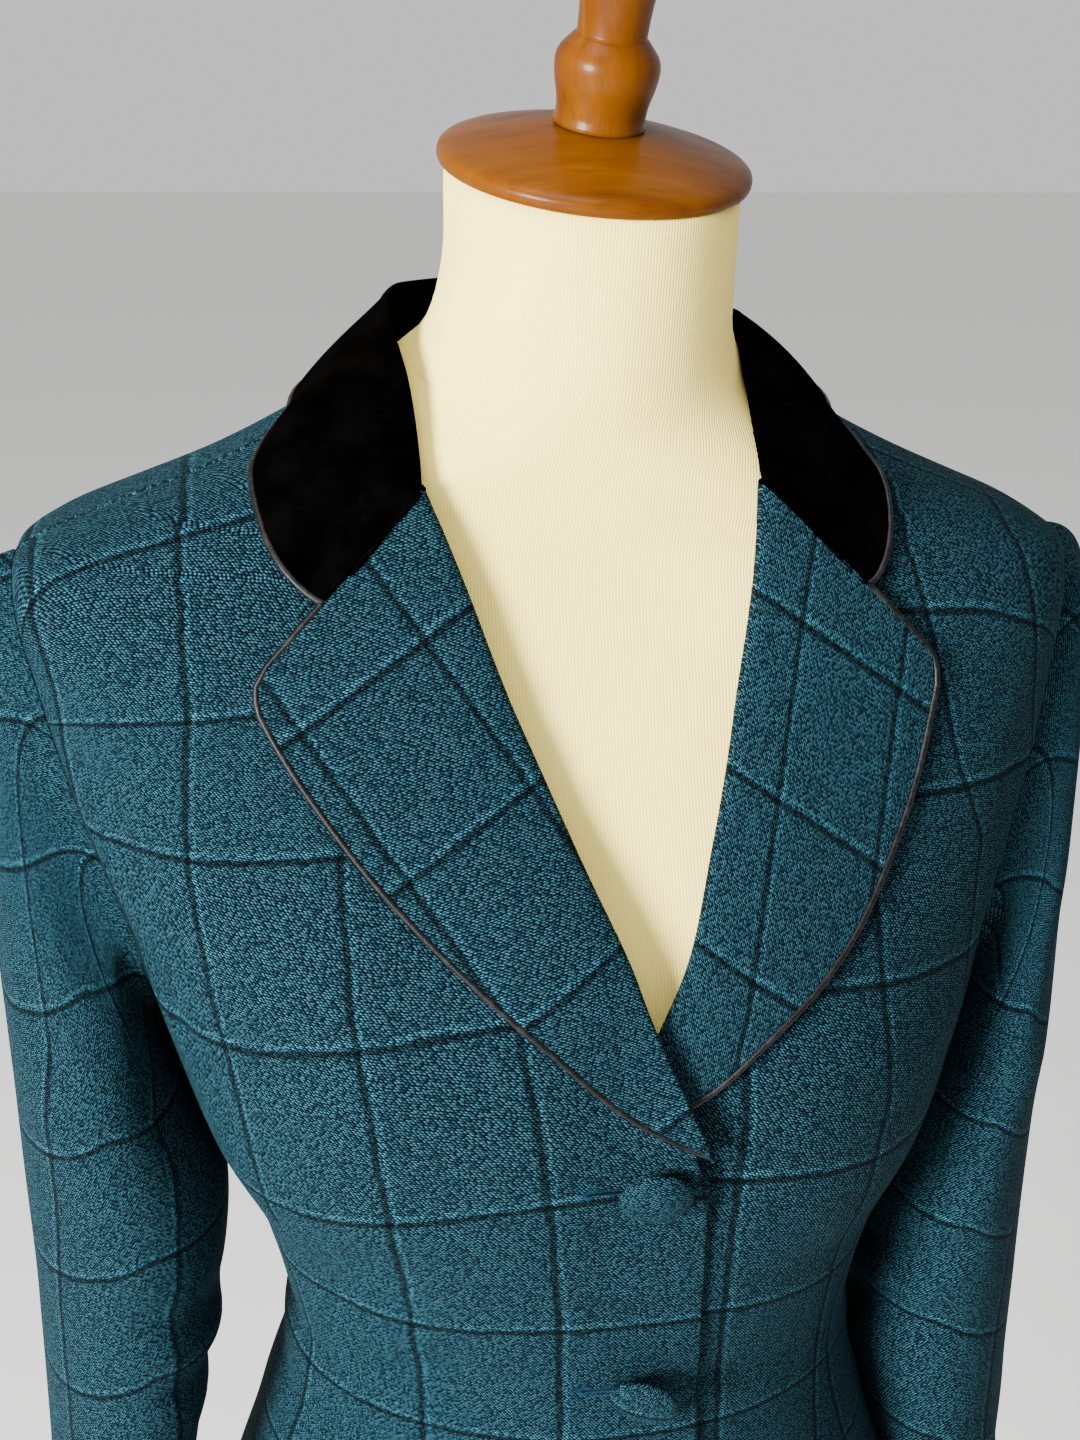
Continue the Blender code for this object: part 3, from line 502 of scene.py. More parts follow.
def shapeRows(rows, outside, rises, hem):
    # lays creases into a sheet and rolls its four edges down
    normals = normalsOf(rows, outside)
    across, along = reachesOf(rows)
    shaped = []
    for j, row in enumerate(rows):
        line = []
        for i, point in enumerate(row):
            drop = max(edgeDrop(across[j][i], hem.start), edgeDrop(across[j][-1] - across[j][i], hem.end),
                       edgeDrop(along[j][i], hem.low), edgeDrop(along[-1][i] - along[j][i], hem.high))
            rise = rises[j][i] if rises else 0.0
            line.append(point + normals[j][i] * (rise - drop))
        shaped.append(line)
    return shaped


def gridMesh(rows, grain):
    # a grid bent through rows of points, with the cloth's grain in metres as its UV map
    wide, tall = len(rows[0]), len(rows)
    bm = bmesh.new()
    layer = bm.loops.layers.uv.new("grain")
    bmesh.ops.create_grid(bm, x_segments=wide - 1, y_segments=tall - 1, size=1.0)
    places = {}
    for vert in bm.verts:
        places[vert] = (round((vert.co.x + 1) / 2 * (wide - 1)), round((vert.co.y + 1) / 2 * (tall - 1)))
    for face in bm.faces:
        face.smooth = True
        for loop in face.loops:
            i, j = places[loop.vert]
            loop[layer].uv = grain[j][i]
    for vert, (i, j) in places.items():
        vert.co = rows[j][i] + Vector((0, 0, napeHeight))
    return bm, layer


def addPiece(name, data, materials, node=None):
    mesh = data
    if isinstance(data, bmesh.types.BMesh):
        mesh = bpy.data.meshes.new(name)
        data.to_mesh(mesh)
        data.free()
    for material in materials:
        mesh.materials.append(material)
    thing = addObject(name, mesh)
    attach(thing, "root")
    if node:
        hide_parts(node)
    return thing


def addWall(thing, wall):
    solid = thing.modifiers.new("wall", "SOLIDIFY")
    solid.thickness = wall
    solid.offset = -1.0
    return solid


def addSheet(name, rows, grain, materials, outside, wall, node):
    bm = gridMesh(rows, grain)[0]
    if outside < 0:
        bmesh.ops.reverse_faces(bm, faces=bm.faces)
    thing = addPiece(name, bm, materials, node)
    solid = addWall(thing, wall)
    solid.use_quality_normals = True
    if len(materials) > 1:
        solid.material_offset = 1
    return thing


Place = namedtuple("Place", "point grain rise")


def addPanel(side, name, places, hem):
    # a sheet of the coat's cloth, lined, from its rows of places
    rows, grain, rises = ([[getattr(place, part) for place in row] for row in places] for part in Place._fields)
    shaped = shapeRows(rows, side, rises, hem)
    thing = addSheet(f"{name}_cloth_{sideName(side)}", shaped, grain, (clothLook, liningLook), side, clothWall,
                     f"{name}_{sideName(side)}")
    return thing, rows


def addCord(name, path, radii, shape, look, node=None, closed=False):
    curve = bpy.data.curves.new(name, "CURVE")
    curve.dimensions = "3D"
    curve.bevel_depth = shape["radius"]
    curve.bevel_resolution = shape["segments"]
    curve.use_fill_caps = not closed
    spline = curve.splines.new("POLY")
    spline.points.add(len(path) - 1)
    for spot, point, radius in zip(spline.points, path, radii):
        spot.co = (*(point + Vector((0, 0, napeHeight))), 1.0)
        spot.radius = radius
    spline.use_cyclic_u = closed
    spline.use_smooth = True
    return addPiece(name, curve, (look,), node)


cutList = []


def declareCloth(thing, rows):
    across, along = reachesOf(rows)
    width = max(row[-1] for row in across)
    length = max(along[-1])
    area = sum(face.area for face in thing.data.polygons)
    cutList.append((thing.name, round(width, 3), round(length, 3), round(area, 4)))


def sideName(side):
    return "left" if side > 0 else "right"


def sideColumn(side):  # column of a table with a right and a left value after its key
    return 2 if side > 0 else 1


# Materials
def newMaterial(name):
    material = bpy.data.materials.new(name)
    material.use_nodes = True
    return material, material.node_tree, material.node_tree.nodes["Principled BSDF"]


def feed(tree, socket, value):
    # a value or another node's output into a socket
    if isinstance(value, bpy.types.NodeSocket):
        tree.links.new(value, socket)
    else:
        socket.default_value = value


def addNode(tree, kind, inputs=None, **settings):
    made = tree.nodes.new(kind)
    for key, value in settings.items():
        setattr(made, key, value)
    for key, value in (inputs or {}).items():
        feed(tree, made.inputs[key], value)
    return made


def mathNode(tree, operation, *values):
    return addNode(tree, "ShaderNodeMath", dict(enumerate(values)), operation=operation).outputs[0]


def rangeNode(tree, value, low, high, start=0.0, end=1.0):
    inputs = {"Value": value, "From Min": low, "From Max": high, "To Min": start, "To Max": end}
    return addNode(tree, "ShaderNodeMapRange", inputs, interpolation_type="SMOOTHSTEP").outputs[0]


def rampNode(tree, factor, stops):
    made = addNode(tree, "ShaderNodeValToRGB", {0: factor})
    made.color_ramp.interpolation = "EASE"
    ends = made.color_ramp.elements
    for number, (place, colour) in enumerate(stops):
        stop = ends[number] if number < 2 else ends.new(place)
        stop.position = place
        stop.color = (colour, colour, colour, 1) if isinstance(colour, float) else (*colour, 1)
    return made.outputs[0]


def mixNode(tree, factor, one, two, blend="MIX"):
    made = addNode(tree, "ShaderNodeMix", data_type="RGBA", blend_type=blend)
    for number, value in ((0, factor), (6, one), (7, two)):
        feed(tree, made.inputs[number], (*value, 1) if isinstance(value, tuple) else value)
    return made.outputs[2]


def noiseNode(tree, vector, scale, detail=2.0, rough=0.5, **more):
    inputs = {"Vector": vector, "Scale": scale, "Detail": detail, "Roughness": rough, **more}
    return addNode(tree, "ShaderNodeTexNoise", inputs).outputs[0]


def greyNode(tree, value):
    return addNode(tree, "ShaderNodeCombineColor", {0: value, 1: value, 2: value}).outputs[0]


def rippleNode(tree, way, pitch):  # even ribs, one for each pitch
    wave = mathNode(tree, "SINE", mathNode(tree, "MULTIPLY", way, math.pi / pitch))
    return mathNode(tree, "ABSOLUTE", wave)


def grainNodes(tree):
    # the cloth's own run in metres from its UV map: both ways at once, across, and along
    grain = addNode(tree, "ShaderNodeUVMap", uv_map="grain").outputs[0]
    split = addNode(tree, "ShaderNodeSeparateXYZ", {0: grain})
    return grain, split.outputs[0], split.outputs[1]


def placeNode(tree):
    return addNode(tree, "ShaderNodeTexCoord").outputs["Object"]


def bumpNode(tree, shader, height, distance, strength=1.0):
    made = addNode(tree, "ShaderNodeBump", {"Height": height, "Distance": distance, "Strength": strength})
    tree.links.new(made.outputs[0], shader.inputs["Normal"])


def setShader(tree, shader, **values):
    for key, value in values.items():
        feed(tree, shader.inputs[key.replace("_", " ")], value)


checkCloth = {
    "dark": (0.0001, 0.0018, 0.0038), "light": (0.0230, 0.0800, 0.1040), "wide": 0.054, "tall": 0.061,
    "yarnWide": 0.00122, "yarnTall": 0.00084, "slant": 0.34, "relief": 0.00020,
}


def makeCheckCloth():
    material, tree, shader = newMaterial("teal_check_cloth")
    grain, across, along = grainNodes(tree)
    drift = mathNode(tree, "MULTIPLY_ADD", noiseNode(tree, grain, 55.0, 3.0), 0.0022, -0.0011)
    # yarns: short slanted floats in brick order, each with its own tone
    row = mathNode(tree, "DIVIDE", along, checkCloth["yarnTall"])
    column = mathNode(tree, "DIVIDE", across, checkCloth["yarnWide"])
    x = mathNode(tree, "MULTIPLY_ADD", row, 0.5, column)
    y = mathNode(tree, "MULTIPLY_ADD", column, checkCloth["slant"], row)
    place = addNode(tree, "ShaderNodeCombineXYZ", {0: x, 1: y}).outputs[0]
    yarns = addNode(tree, "ShaderNodeTexVoronoi", {"Vector": place, "Scale": 1.0, "Randomness": 0.40},
                    voronoi_dimensions="2D")
    tone = addNode(tree, "ShaderNodeSeparateColor", {0: yarns.outputs["Color"]}).outputs[0]
    yarnFloat = rangeNode(tree, yarns.outputs["Distance"], 0.10, 0.46, 1.0, 0.0)
    strength = mathNode(tree, "MULTIPLY_ADD", tone, 1.10, 0.20)
    lightness = mathNode(tree, "MULTIPLY", yarnFloat, strength)
    base = mixNode(tree, lightness, checkCloth["dark"], checkCloth["light"])
    # windowpane: one dark and one light line in each direction, as stops of a ramp over one check
    lines = (
        (across, "wide",
         ((0.430, 0.5), (0.456, 0.21), (0.480, 0.21), (0.500, 0.64), (0.517, 0.76), (0.545, 0.5))),
        (along, "tall",
         ((0.445, 0.5), (0.464, 0.19), (0.484, 0.19), (0.502, 0.67), (0.520, 0.80), (0.545, 0.5))),
    )
    ragged = mathNode(tree, "MULTIPLY_ADD", noiseNode(tree, grain, 900.0, 1.0), 0.5, 0.75)
    for way, size, stops in lines:
        place = mathNode(tree, "MULTIPLY_ADD", mathNode(tree, "ADD", way, drift), 1 / checkCloth[size], 0.5)
        line = rampNode(tree, mathNode(tree, "FRACT", place), ((0.0, 0.5), (1.0, 0.5), *stops))
        gain = mathNode(tree, "POWER", mathNode(tree, "MULTIPLY", line, 2.0), 1.25)
        soft = mathNode(tree, "MULTIPLY_ADD", mathNode(tree, "SUBTRACT", gain, 1.0), ragged, 1.0)
        base = mixNode(tree, 1.0, base, greyNode(tree, soft), "MULTIPLY")
    heather = rangeNode(tree, noiseNode(tree, grain, 260.0, 4.0, 0.7), 0.25, 0.75, 0.88, 1.13)
    base = mixNode(tree, 1.0, base, greyNode(tree, heather), "MULTIPLY")
    nap = mathNode(tree, "MULTIPLY_ADD", noiseNode(tree, grain, 2600.0, 2.0), 0.20, lightness)
    bumpNode(tree, shader, nap, checkCloth["relief"], 0.6)
    setShader(tree, shader, Base_Color=base, Roughness=0.90, Specular_IOR_Level=0.03, Sheen_Weight=0.01,
              Sheen_Roughness=0.45, Sheen_Tint=(0.30, 0.75, 0.85, 1.0))
    return material


def makeLining():
    material, tree, shader = newMaterial("lining_satin")
    grain, across, along = grainNodes(tree)
    twill = mathNode(tree, "SINE", mathNode(tree, "MULTIPLY", mathNode(tree, "ADD", across, along), 9000.0))
    cloudy = rangeNode(tree, noiseNode(tree, grain, 30.0, 3.0), 0.3, 0.7)
    base = mixNode(tree, cloudy, (0.0035, 0.0100, 0.0130), (0.0060, 0.0160, 0.0200))
    bumpNode(tree, shader, twill, 0.00004, 0.5)
    setShader(tree, shader, Base_Color=base, Roughness=0.42, Specular_IOR_Level=0.30)
    return material


def makeVelvet():
    material, tree, shader = newMaterial("black_velvet")
    place = placeNode(tree)
    brushed = rangeNode(tree, noiseNode(tree, place, 55.0, 4.0, 0.6), 0.35, 0.70)
    lint = rangeNode(tree, noiseNode(tree, place, 900.0, 2.0), 0.70, 0.82)
    base = mixNode(tree, brushed, (0.00020, 0.00018, 0.00018), (0.0010, 0.0009, 0.0009))
    base = mixNode(tree, mathNode(tree, "MULTIPLY", lint, 0.20), base, (0.010, 0.009, 0.008))
    nap = mathNode(tree, "ADD", noiseNode(tree, place, 2600.0, 2.0), mathNode(tree, "MULTIPLY", brushed, 0.6))
    bumpNode(tree, shader, nap, 0.00025, 0.7)
    setShader(tree, shader, Base_Color=base, Roughness=0.97, Specular_IOR_Level=0.0, Sheen_Weight=0.006,
              Sheen_Roughness=0.30, Sheen_Tint=(0.60, 0.50, 0.42, 1.0))
    return material


def makeLeather():
    material, tree, shader = newMaterial("dark_piping")
    place = placeNode(tree)
    worn = rangeNode(tree, noiseNode(tree, place, 260.0, 4.0, 0.65), 0.42, 0.72)
    wrinkle = addNode(tree, "ShaderNodeTexVoronoi", {"Vector": place, "Scale": 520.0},
                      feature="DISTANCE_TO_EDGE").outputs["Distance"]
    base = mixNode(tree, worn, (0.0012, 0.0012, 0.0012), (0.0085, 0.0082, 0.0080))
    bumpNode(tree, shader, rangeNode(tree, wrinkle, 0.0, 0.12), 0.00005, 0.5)
    setShader(tree, shader, Base_Color=base, Roughness=rangeNode(tree, worn, 0.0, 1.0, 0.40, 0.56),
              Specular_IOR_Level=0.17)
    return material


def makeJersey():
    material, tree, shader = newMaterial("cream_jersey")
    grain, across, along = grainNodes(tree)
    drift = mathNode(tree, "MULTIPLY_ADD", noiseNode(tree, grain, 40.0, 2.0), 0.0008, -0.0004)
    ribHeightAndShade = mathNode(tree, "POWER", rippleNode(tree, mathNode(tree, "ADD", across, drift), 0.00118), 0.6)
    loop = rippleNode(tree, along, 0.0011)
    fuzz = noiseNode(tree, grain, 1400.0, 3.0, 0.7)
    cloudy = rangeNode(tree, noiseNode(tree, grain, 18.0, 3.0), 0.3, 0.7)
    # painted shade: the grooves between the ribs are coloured darker for the shade that falls in them; the ribs'
    # relief itself is the bump below
    base = mixNode(tree, ribHeightAndShade, (0.63, 0.45, 0.100), (0.920, 0.735, 0.180))
    base = mixNode(tree, cloudy, base, (0.930, 0.745, 0.190))
    base = mixNode(tree, rangeNode(tree, fuzz, 0.35, 0.65, 0.0, 0.35), base, (0.92, 0.775, 0.25))
    height = mathNode(tree, "MULTIPLY_ADD", loop, 0.18, ribHeightAndShade)
    bumpNode(tree, shader, mathNode(tree, "MULTIPLY_ADD", fuzz, 0.35, height), 0.00028, 0.55)
    setShader(tree, shader, Base_Color=base, Roughness=0.92, Specular_IOR_Level=0.12, Sheen_Weight=0.06,
              Sheen_Roughness=0.5)
    return material


def makeWood(name, stretch):
    # stretch is longest across the grain, so that the figure runs along it
    material, tree, shader = newMaterial(name)
    place = placeNode(tree)
    turned = addNode(tree, "ShaderNodeMapping", {"Vector": place, "Scale": stretch}).outputs[0]
    figure = noiseNode(tree, turned, 26.0, 5.0, 0.62, Distortion=0.9)
    pores = rangeNode(tree, noiseNode(tree, turned, 420.0, 3.0, 0.6), 0.52, 0.72)
    blotch = rangeNode(tree, noiseNode(tree, place, 22.0, 2.0), 0.3, 0.7)
    base = rampNode(tree, figure, ((0.30, (0.034, 0.0066, 0.0)), (0.70, (0.150, 0.0480, 0.0001)),
                                   (0.50, (0.080, 0.0210, 0.0))))
    base = mixNode(tree, mathNode(tree, "MULTIPLY", pores, 0.40), base, (0.022, 0.0044, 0.0))
    base = mixNode(tree, mathNode(tree, "MULTIPLY", blotch, 0.30), base, (0.175, 0.0560, 0.0001))
    bumpNode(tree, shader, mathNode(tree, "MULTIPLY_ADD", pores, -0.6, figure), 0.00012, 0.5)
    setShader(tree, shader, Base_Color=base, Roughness=rangeNode(tree, figure, 0.2, 0.8, 0.42, 0.30),
              Specular_IOR_Level=0.08, Coat_Weight=0.06, Coat_Roughness=0.12)
    return material


def makeThread(name, dark, light):
    material, tree, shader = newMaterial(name)
    ply = noiseNode(tree, placeNode(tree), 2200.0, 2.0)
    bumpNode(tree, shader, ply, 0.0001, 0.6)
    setShader(tree, shader, Base_Color=mixNode(tree, rangeNode(tree, ply, 0.35, 0.65), dark, light),
              Roughness=0.70, Specular_IOR_Level=0.10)
    return material


clothLook = makeCheckCloth()
liningLook = makeLining()
velvetLook = makeVelvet()
leatherLook = makeLeather()
jerseyLook = makeJersey()
standingWood = makeWood("honey_wood", (1.0, 1.0, 0.10))
lyingWood = makeWood("honey_wood_cap", (0.14, 1.0, 1.0))
threadLook = makeThread("buttonhole_thread", (0.0008, 0.0120, 0.0260), (0.0035, 0.0340, 0.0620))
# painted shade: the armhole seam's cord is coloured near-black for the shade in the joint
seamShadeLook = makeThread("armhole_seam_shade", (0.0002, 0.0030, 0.0050), (0.0008, 0.0090, 0.0130))
# painted shade: the buttonhole's cut is coloured near-black for the shade inside it
cutShadeLook = makeThread("buttonhole_cut_shade", (0.0001, 0.0004, 0.0006), (0.0002, 0.0010, 0.0014))
print("materials made")


# Grain of the body's cloth: where the check lines lie, read off each front
Grain = namedtuple("Grain", "height start pitch tilt")
rightGrain = tableOf(
    Grain,
    (-0.7, 0.015, 0.054, 0), (-0.45, 0.017, 0.0535, 0), (-0.385, 0.019, 0.053, 0.04),
    (-0.335, 0.02, 0.055, 0.08), (-0.29, 0.023, 0.057, 0.22), (-0.25, 0.028, 0.0565, 0.22),
    (-0.21, 0.033, 0.055, 0.2), (-0.16, 0.0335, 0.054, 0.1), (-0.1, 0.032, 0.0515, 0.1),
    (-0.03, 0.036, 0.05, 0),
)
leftGrain = tableOf(
    Grain,
    (-0.7, 0.048, 0.054, 0), (-0.45, 0.045, 0.054, 0), (-0.4, 0.044, 0.054, 0.03),
    (-0.34, 0.043, 0.056, 0.12), (-0.29, 0.043, 0.06, 0.11), (-0.25, 0.0465, 0.06, 0.11),
    (-0.2, 0.047, 0.054, 0.1), (-0.165, 0.0465, 0.0535, 0.04), (-0.131, 0.0415, 0.048, 0.02),
    (-0.1, 0.039, 0.046, -0.05), (-0.055, 0.027, 0.046, -0.1),
)
GrainRow = namedtuple("GrainRow", "lift right left")
grainRows = tableOf(
    GrainRow,
    (-0.598, -10, -10), (-0.538, -9, -9), (-0.318, -5.35, -5.3), (-0.258, -4, -3.95), (-0.204, -3, -3),
    (-0.142, -2, -2.04), (-0.071, -1, -1.06), (-0.014, 0, -0.07), (0.036, 1, 0.76), (0.096, 2, 1.77),
    (0.16, 3, 2.8),
)
shoulderTurn = {"height": -0.130, "radius": 0.085}


@lru_cache(maxsize=4000)
def reachRow(height):
    # distance round the body from the front, by 2 degrees; over the shoulders only its sideways part
    depthShare = fade((-0.075 - height) / 0.040)
    reach = [0.0]
    last = baseAt(0.0, height)
    for step in range(1, 91):
        here = baseAt(math.radians(step * 2), height)
        reach.append(reach[-1] + math.hypot(here[0] - last[0], math.sqrt(depthShare) * (here[1] - last[1])))
        last = here
    return reach


def reachAt(angle, height):
    row = reachRow(round(height, 3))
    place = min(abs(math.degrees(angle)) / 2, 89.999)
    return mix(row[int(place)], row[int(place) + 1], place - int(place))


def liftOf(point, front):
    # distance up the cloth from the chest, over the shoulder's roundness
    above = point.z - shoulderTurn["height"]
    if above <= 0:
        return above
    depth = -point.y if front else point.y
    return shoulderTurn["radius"] * math.atan2(above, max(depth, 0.0001))


def bodyGrain(side, angle, height, point, front=True):
    table = leftGrain if side > 0 else rightGrain
    start, pitch, tilt = (straightAt(table, height, column) for column in (1, 2, 3))
    spreadOut = min(max(abs(point.x) - 0.03, 0.0), 0.11) * fade((2.2 - abs(angle)) / 1.0)
    lift = liftOf(point, front) + tilt * spreadOut
    v = straightAt(grainRows, lift, sideColumn(side))
    if not front:
        # the crosswise lines meet at the centre back
        apart = straightAt(grainRows, lift, 1) - straightAt(grainRows, lift, 2)
        v += side * (apart - round(apart)) / 2 * fade((abs(angle) - 2.0) / 1.0)
    v *= checkCloth["tall"]
    if front:
        reach = reachAt(angle, height) * (1 if angle * side > 0 else -1)
        u = side * (reach - start) / pitch
    else:
        aroundBack = reachAt(math.pi, height) - reachAt(angle, height)
        u = side * (aroundBack / checkCloth["wide"] + 0.5)
    return (u * checkCloth["wide"], v)


panelRows = {"skirt": 110, "armhole": 36, "shoulder": 34}


def lowerHeights():  # from the hem to the armhole
    low = [coatHem + place for place in edgeRows]
    return low + [mix(low[-1], armholeTurn, share) for share in shares(panelRows["skirt"])][1:]


def upperHeights():  # from the armhole over the shoulder to the neck
    return ([mix(armholeTurn, shoulderTipHeight, share) for share in shares(panelRows["armhole"])][1:]
            + [mix(shoulderTipHeight, necklineHeight, share) for share in shares(panelRows["shoulder"])][1:])


# Fronts, side panels and backs
frontCloth = {
    "columns": 50, "wide": 0.150, "cutAway": 0.060, "corner": 0.050, "neckTurn": 74.0,
    "lap": 0.0032, "lapAtBreak": 0.0080, "lapWide": 0.105, "lapFade": 0.055,
    "hem": Hem(0.0011, 0.0006, 0.0011, 0.0005),
}
sideCloth = {"columns": 24, "wide": 0.110, "start": 0.012, "hem": Hem(0.0006, 0.0006, 0.0011, 0.0006)}
backCloth = {"columns": 44, "wide": 0.150, "hem": Hem(0.0006, 0.0007, 0.0011, 0.0005)}


def frontEdge(side, height):
    away = frontCloth["cutAway"] * fade((-0.470 - height) / 0.30)
    size = frontCloth["corner"]
    below = max(coatHem + size - height, 0.0)
    corner = size - math.sqrt(max(size ** 2 - below ** 2, 0.0))
    return closureAt(height) - side * (overlapHalf - away - corner)


@lru_cache(maxsize=20000)
def rollX(side, z):
    return closureAt(z) + tableAt(rollLine, z, 2) + side * tableAt(rollLine, z, 1)


def lapLift(side, x, height):
    if side > 0:
        return 0.0
    # how far the right front stands out over the left one
    near = fade((frontCloth["lapWide"] - (closureAt(height) + overlapHalf - x)) / frontCloth["lapFade"])
    rise = mix(frontCloth["lap"], frontCloth["lapAtBreak"], fade((height + 0.300) / 0.045))
    return near * rise * fade((-0.13 - height) / 0.07)


def frontEnds(side, height):
    # the front's row at a height: the angles where it starts and ends
    rollTop = rollLine[-1].height
    if height < breakHeight:
        rollFoot = rollX(side, breakHeight) + side * rollSetback
        edge = mix(frontEdge(side, height), rollFoot, fade((height - breakHeight) / 0.025 + 1.0))
        start = angleAt(edge, height)
    elif height < rollTop:
        start = angleAt(rollX(side, height) + side * rollSetback, height)
    else:
        start = mix(angleAt(rollX(side, rollTop) + side * rollSetback, rollTop),
                    side * math.radians(frontCloth["neckTurn"]), (height - rollTop) / (necklineHeight - rollTop))
    if height < armholeTurn:
        return start, frontSeam(height)
    return start, armholeFront(height) if height < shoulderTipHeight else math.radians(90.0)


def makeFront(side):
    acrossShares = edgeShares(frontCloth["columns"], frontCloth["wide"])
    places = []
    for height in lowerHeights() + upperHeights():
        start, end = frontEnds(side, height)
        end -= seamTuck / sectionAt(height).width
        edgeX = bodyBase(start, height).x
        # the cloth stands out where it turns over into the lapel
        lifted = panelLift * fade((height - breakHeight + 0.03) / 0.03) * fade((-0.016 - height) / 0.022)
        row = []
        for across in acrossShares:
            angle = mix(start, side * end, across)
            base = bodyBase(angle, height)
            lift = lifted * fade(1.0 - abs(base.x - edgeX) / 0.030) + lapLift(side, base.x, height)
            point = base + bodyNormal(angle, height) * lift
            row.append(Place(point, bodyGrain(side, angle, height, point), bodyCrease(angle, height)))
        places.append(row)
    return addPanel(side, "front", places, frontCloth["hem"])


def makeSide(side):
    acrossShares = edgeShares(sideCloth["columns"], sideCloth["wide"])
    places = []
    for level in lowerHeights():
        along = (level - coatHem) / (armholeTurn - coatHem)
        row = []
        for across in acrossShares:
            under = mix(frontSeam(armholeTurn), backSeam(armholeTurn), across)
            height = mix(coatHem, underarm(under), along)
            gap = seamTuck / sectionAt(height).width
            angle = side * mix(frontSeam(height) + gap, backSeam(height) - gap, across)
            point = bodyPoint(angle, height)
            offset = side * (reachAt(angle, height) - reachAt(math.pi / 2, height)) + sideCloth["start"]
            grain = (offset, bodyGrain(side, angle, height, point)[1])
            row.append(Place(point, grain, bodyCrease(angle, height)))
        places.append(row)
    thing, rows = addPanel(side, "side", places, sideCloth["hem"])
    declareCloth(thing, rows)


def makeBack(side):
    acrossShares = edgeShares(backCloth["columns"], backCloth["wide"])
    places = []
    for level in lowerHeights() + upperHeights():
        start = math.radians(90.0)
        if level < shoulderTipHeight:
            start = backSeam(level) if level < armholeTurn else armholeBack(level)
        start += seamTuck / sectionAt(level).width
        row = []
        for across in acrossShares:
            angle, height = mix(start, math.pi, across), level
            if level > shoulderTipHeight:
                share = (level - shoulderTipHeight) / (necklineHeight - shoulderTipHeight)
                top = mix(necklineHeight, napeDip, fade((math.degrees(angle) - 90.0) / 75.0))
                height = mix(shoulderTipHeight, top, share)
            angle *= side
            point = bodyPoint(angle, height)
            row.append(Place(point, bodyGrain(side, angle, height, point, False), bodyCrease(angle, height)))
        places.append(row)
    thing, rows = addPanel(side, "back", places, backCloth["hem"])
    declareCloth(thing, rows)


# Lapels
lapelCloth = {
    "rows": 96, "rollColumns": 22, "columns": 34, "edgeSteps": 400, "wide": 0.070, "long": 0.250,
    "wall": 0.0016, "crown": 0.0010, "footOut": 0.0050, "hem": Hem(0.0, 0.0010, 0.0006, 0.0006),
}
LapelGrain = namedtuple("LapelGrain", "side x z lean pitch weftX weftZ weftLean weftPitch")
lapelGrains = tableOf(
    LapelGrain,
    (-1, 0.081, -0.057, 0.698, 0.062, 0.054, -0.075, -0.684, 0.0703),
    (1, 0.068, -0.077, 0.2, 0.04, 0.069, -0.083, -0.69, 0.065),
)
rollRows = [(number, *row) for number, row in enumerate(lapelRoll)]


def lapelOuterLine(side):
    top, foot = lapelEdge[-1].height, lapelEdge[0].height
    heights = [mix(top, foot, share) for share in shares(60)]
    line = [(closureAt(z) + side * tableAt(lapelEdge, z, 1), z) for z in heights]
    return spread(line, lapelCloth["edgeSteps"] + 1)


def turnedOut(across, turnShare):
    # across the roll of a turned-over edge: how far it reaches past the roll line, and off the body
    place = across / turnShare * (len(lapelRoll) - 1)
    return tableAt(rollRows, place, 1), tableAt(rollRows, place, 2)


def flatOut(share, edgeOut):
    # across the flat part of a turned-over edge: how far it stands off the body
    return mix(lapelRoll[-1].out, edgeOut, fade(share)) + lapelCloth["crown"] * math.sin(math.pi * share)


def lapelPoint(side, along, across, outer):
    rollZ = mix(rollLine[-1].height - lapelGap, rollLine[0].height, along)
    roll = Vector((rollX(side, rollZ), rollZ))
    outer = Vector(outer) + Vector((0.0, -lapelGap * (1.0 - along)))
    wayOut = (outer - roll).normalized()
    if across < rollShare:
        inward, out = turnedOut(across, rollShare)
        spot = roll + wayOut * inward
    else:
        share = (across - rollShare) / (1 - rollShare)
        spot = (roll + wayOut * lapelRoll[-1].inward).lerp(outer, share)
        out = flatOut(share, lapelEdgeOut)
    out = mix(out, min(out, lapelCloth["footOut"]), fade((along - 0.70) / 0.15))
    angle, height = frontPlace(spot.x, spot.y)
    return bodyPoint(angle, height, out + lapLift(side, spot.x, height)), spot


def lapelGrain(side, spot):
    row = lapelGrains[0] if side < 0 else lapelGrains[1]
    out = side * spot.x
    u = side * (out - (row.x + (spot.y - row.z) * row.lean)) / row.pitch
    v = (spot.y - (row.weftZ + (out - row.weftX) * row.weftLean)) / row.weftPitch
    return (u * checkCloth["wide"], v * checkCloth["tall"])


def makeLapel(side):
    acrossShares = [share * rollShare for share in shares(lapelCloth["rollColumns"])]
    flatShares = edgeShares(lapelCloth["columns"], lapelCloth["wide"], False)
    acrossShares += [mix(rollShare, 1.0, share) for share in flatShares][1:]
    outers = lapelOuterLine(side)
    rows, grain = [], []
    for along in edgeShares(lapelCloth["rows"], lapelCloth["long"]):
        outer = outers[round(along * lapelCloth["edgeSteps"])]
        places = [lapelPoint(side, along, across, outer) for across in acrossShares]
        rows.append([point for point, _ in places])
        grain.append([lapelGrain(side, spot) for _, spot in places])
    shaped = shapeRows(rows, -side, None, lapelCloth["hem"])
    thing = addSheet("lapel_cloth_" + sideName(side), shaped, grain, (clothLook,), -side, lapelCloth["wall"],
                     "lapel_" + sideName(side))
    return thing, rows


# Collar
collarCloth = {
    "stations": 84, "stand": 18, "fold": 16, "fall": 30, "long": 0.190, "wide": 0.050, "wall": 0.0018,
    "leftIn": 0.0032, "leftUp": -0.0034, "rightUp": 0.0024, "foldBack": 0.0026, "foldFront": 0.0028,
    "bulgeBack": 0.0014, "bulgeFront": 0.0044, "gorgeOut": 0.0014, "hem": Hem(0.0004, 0.0014, 0.0004, 0.0004),
}


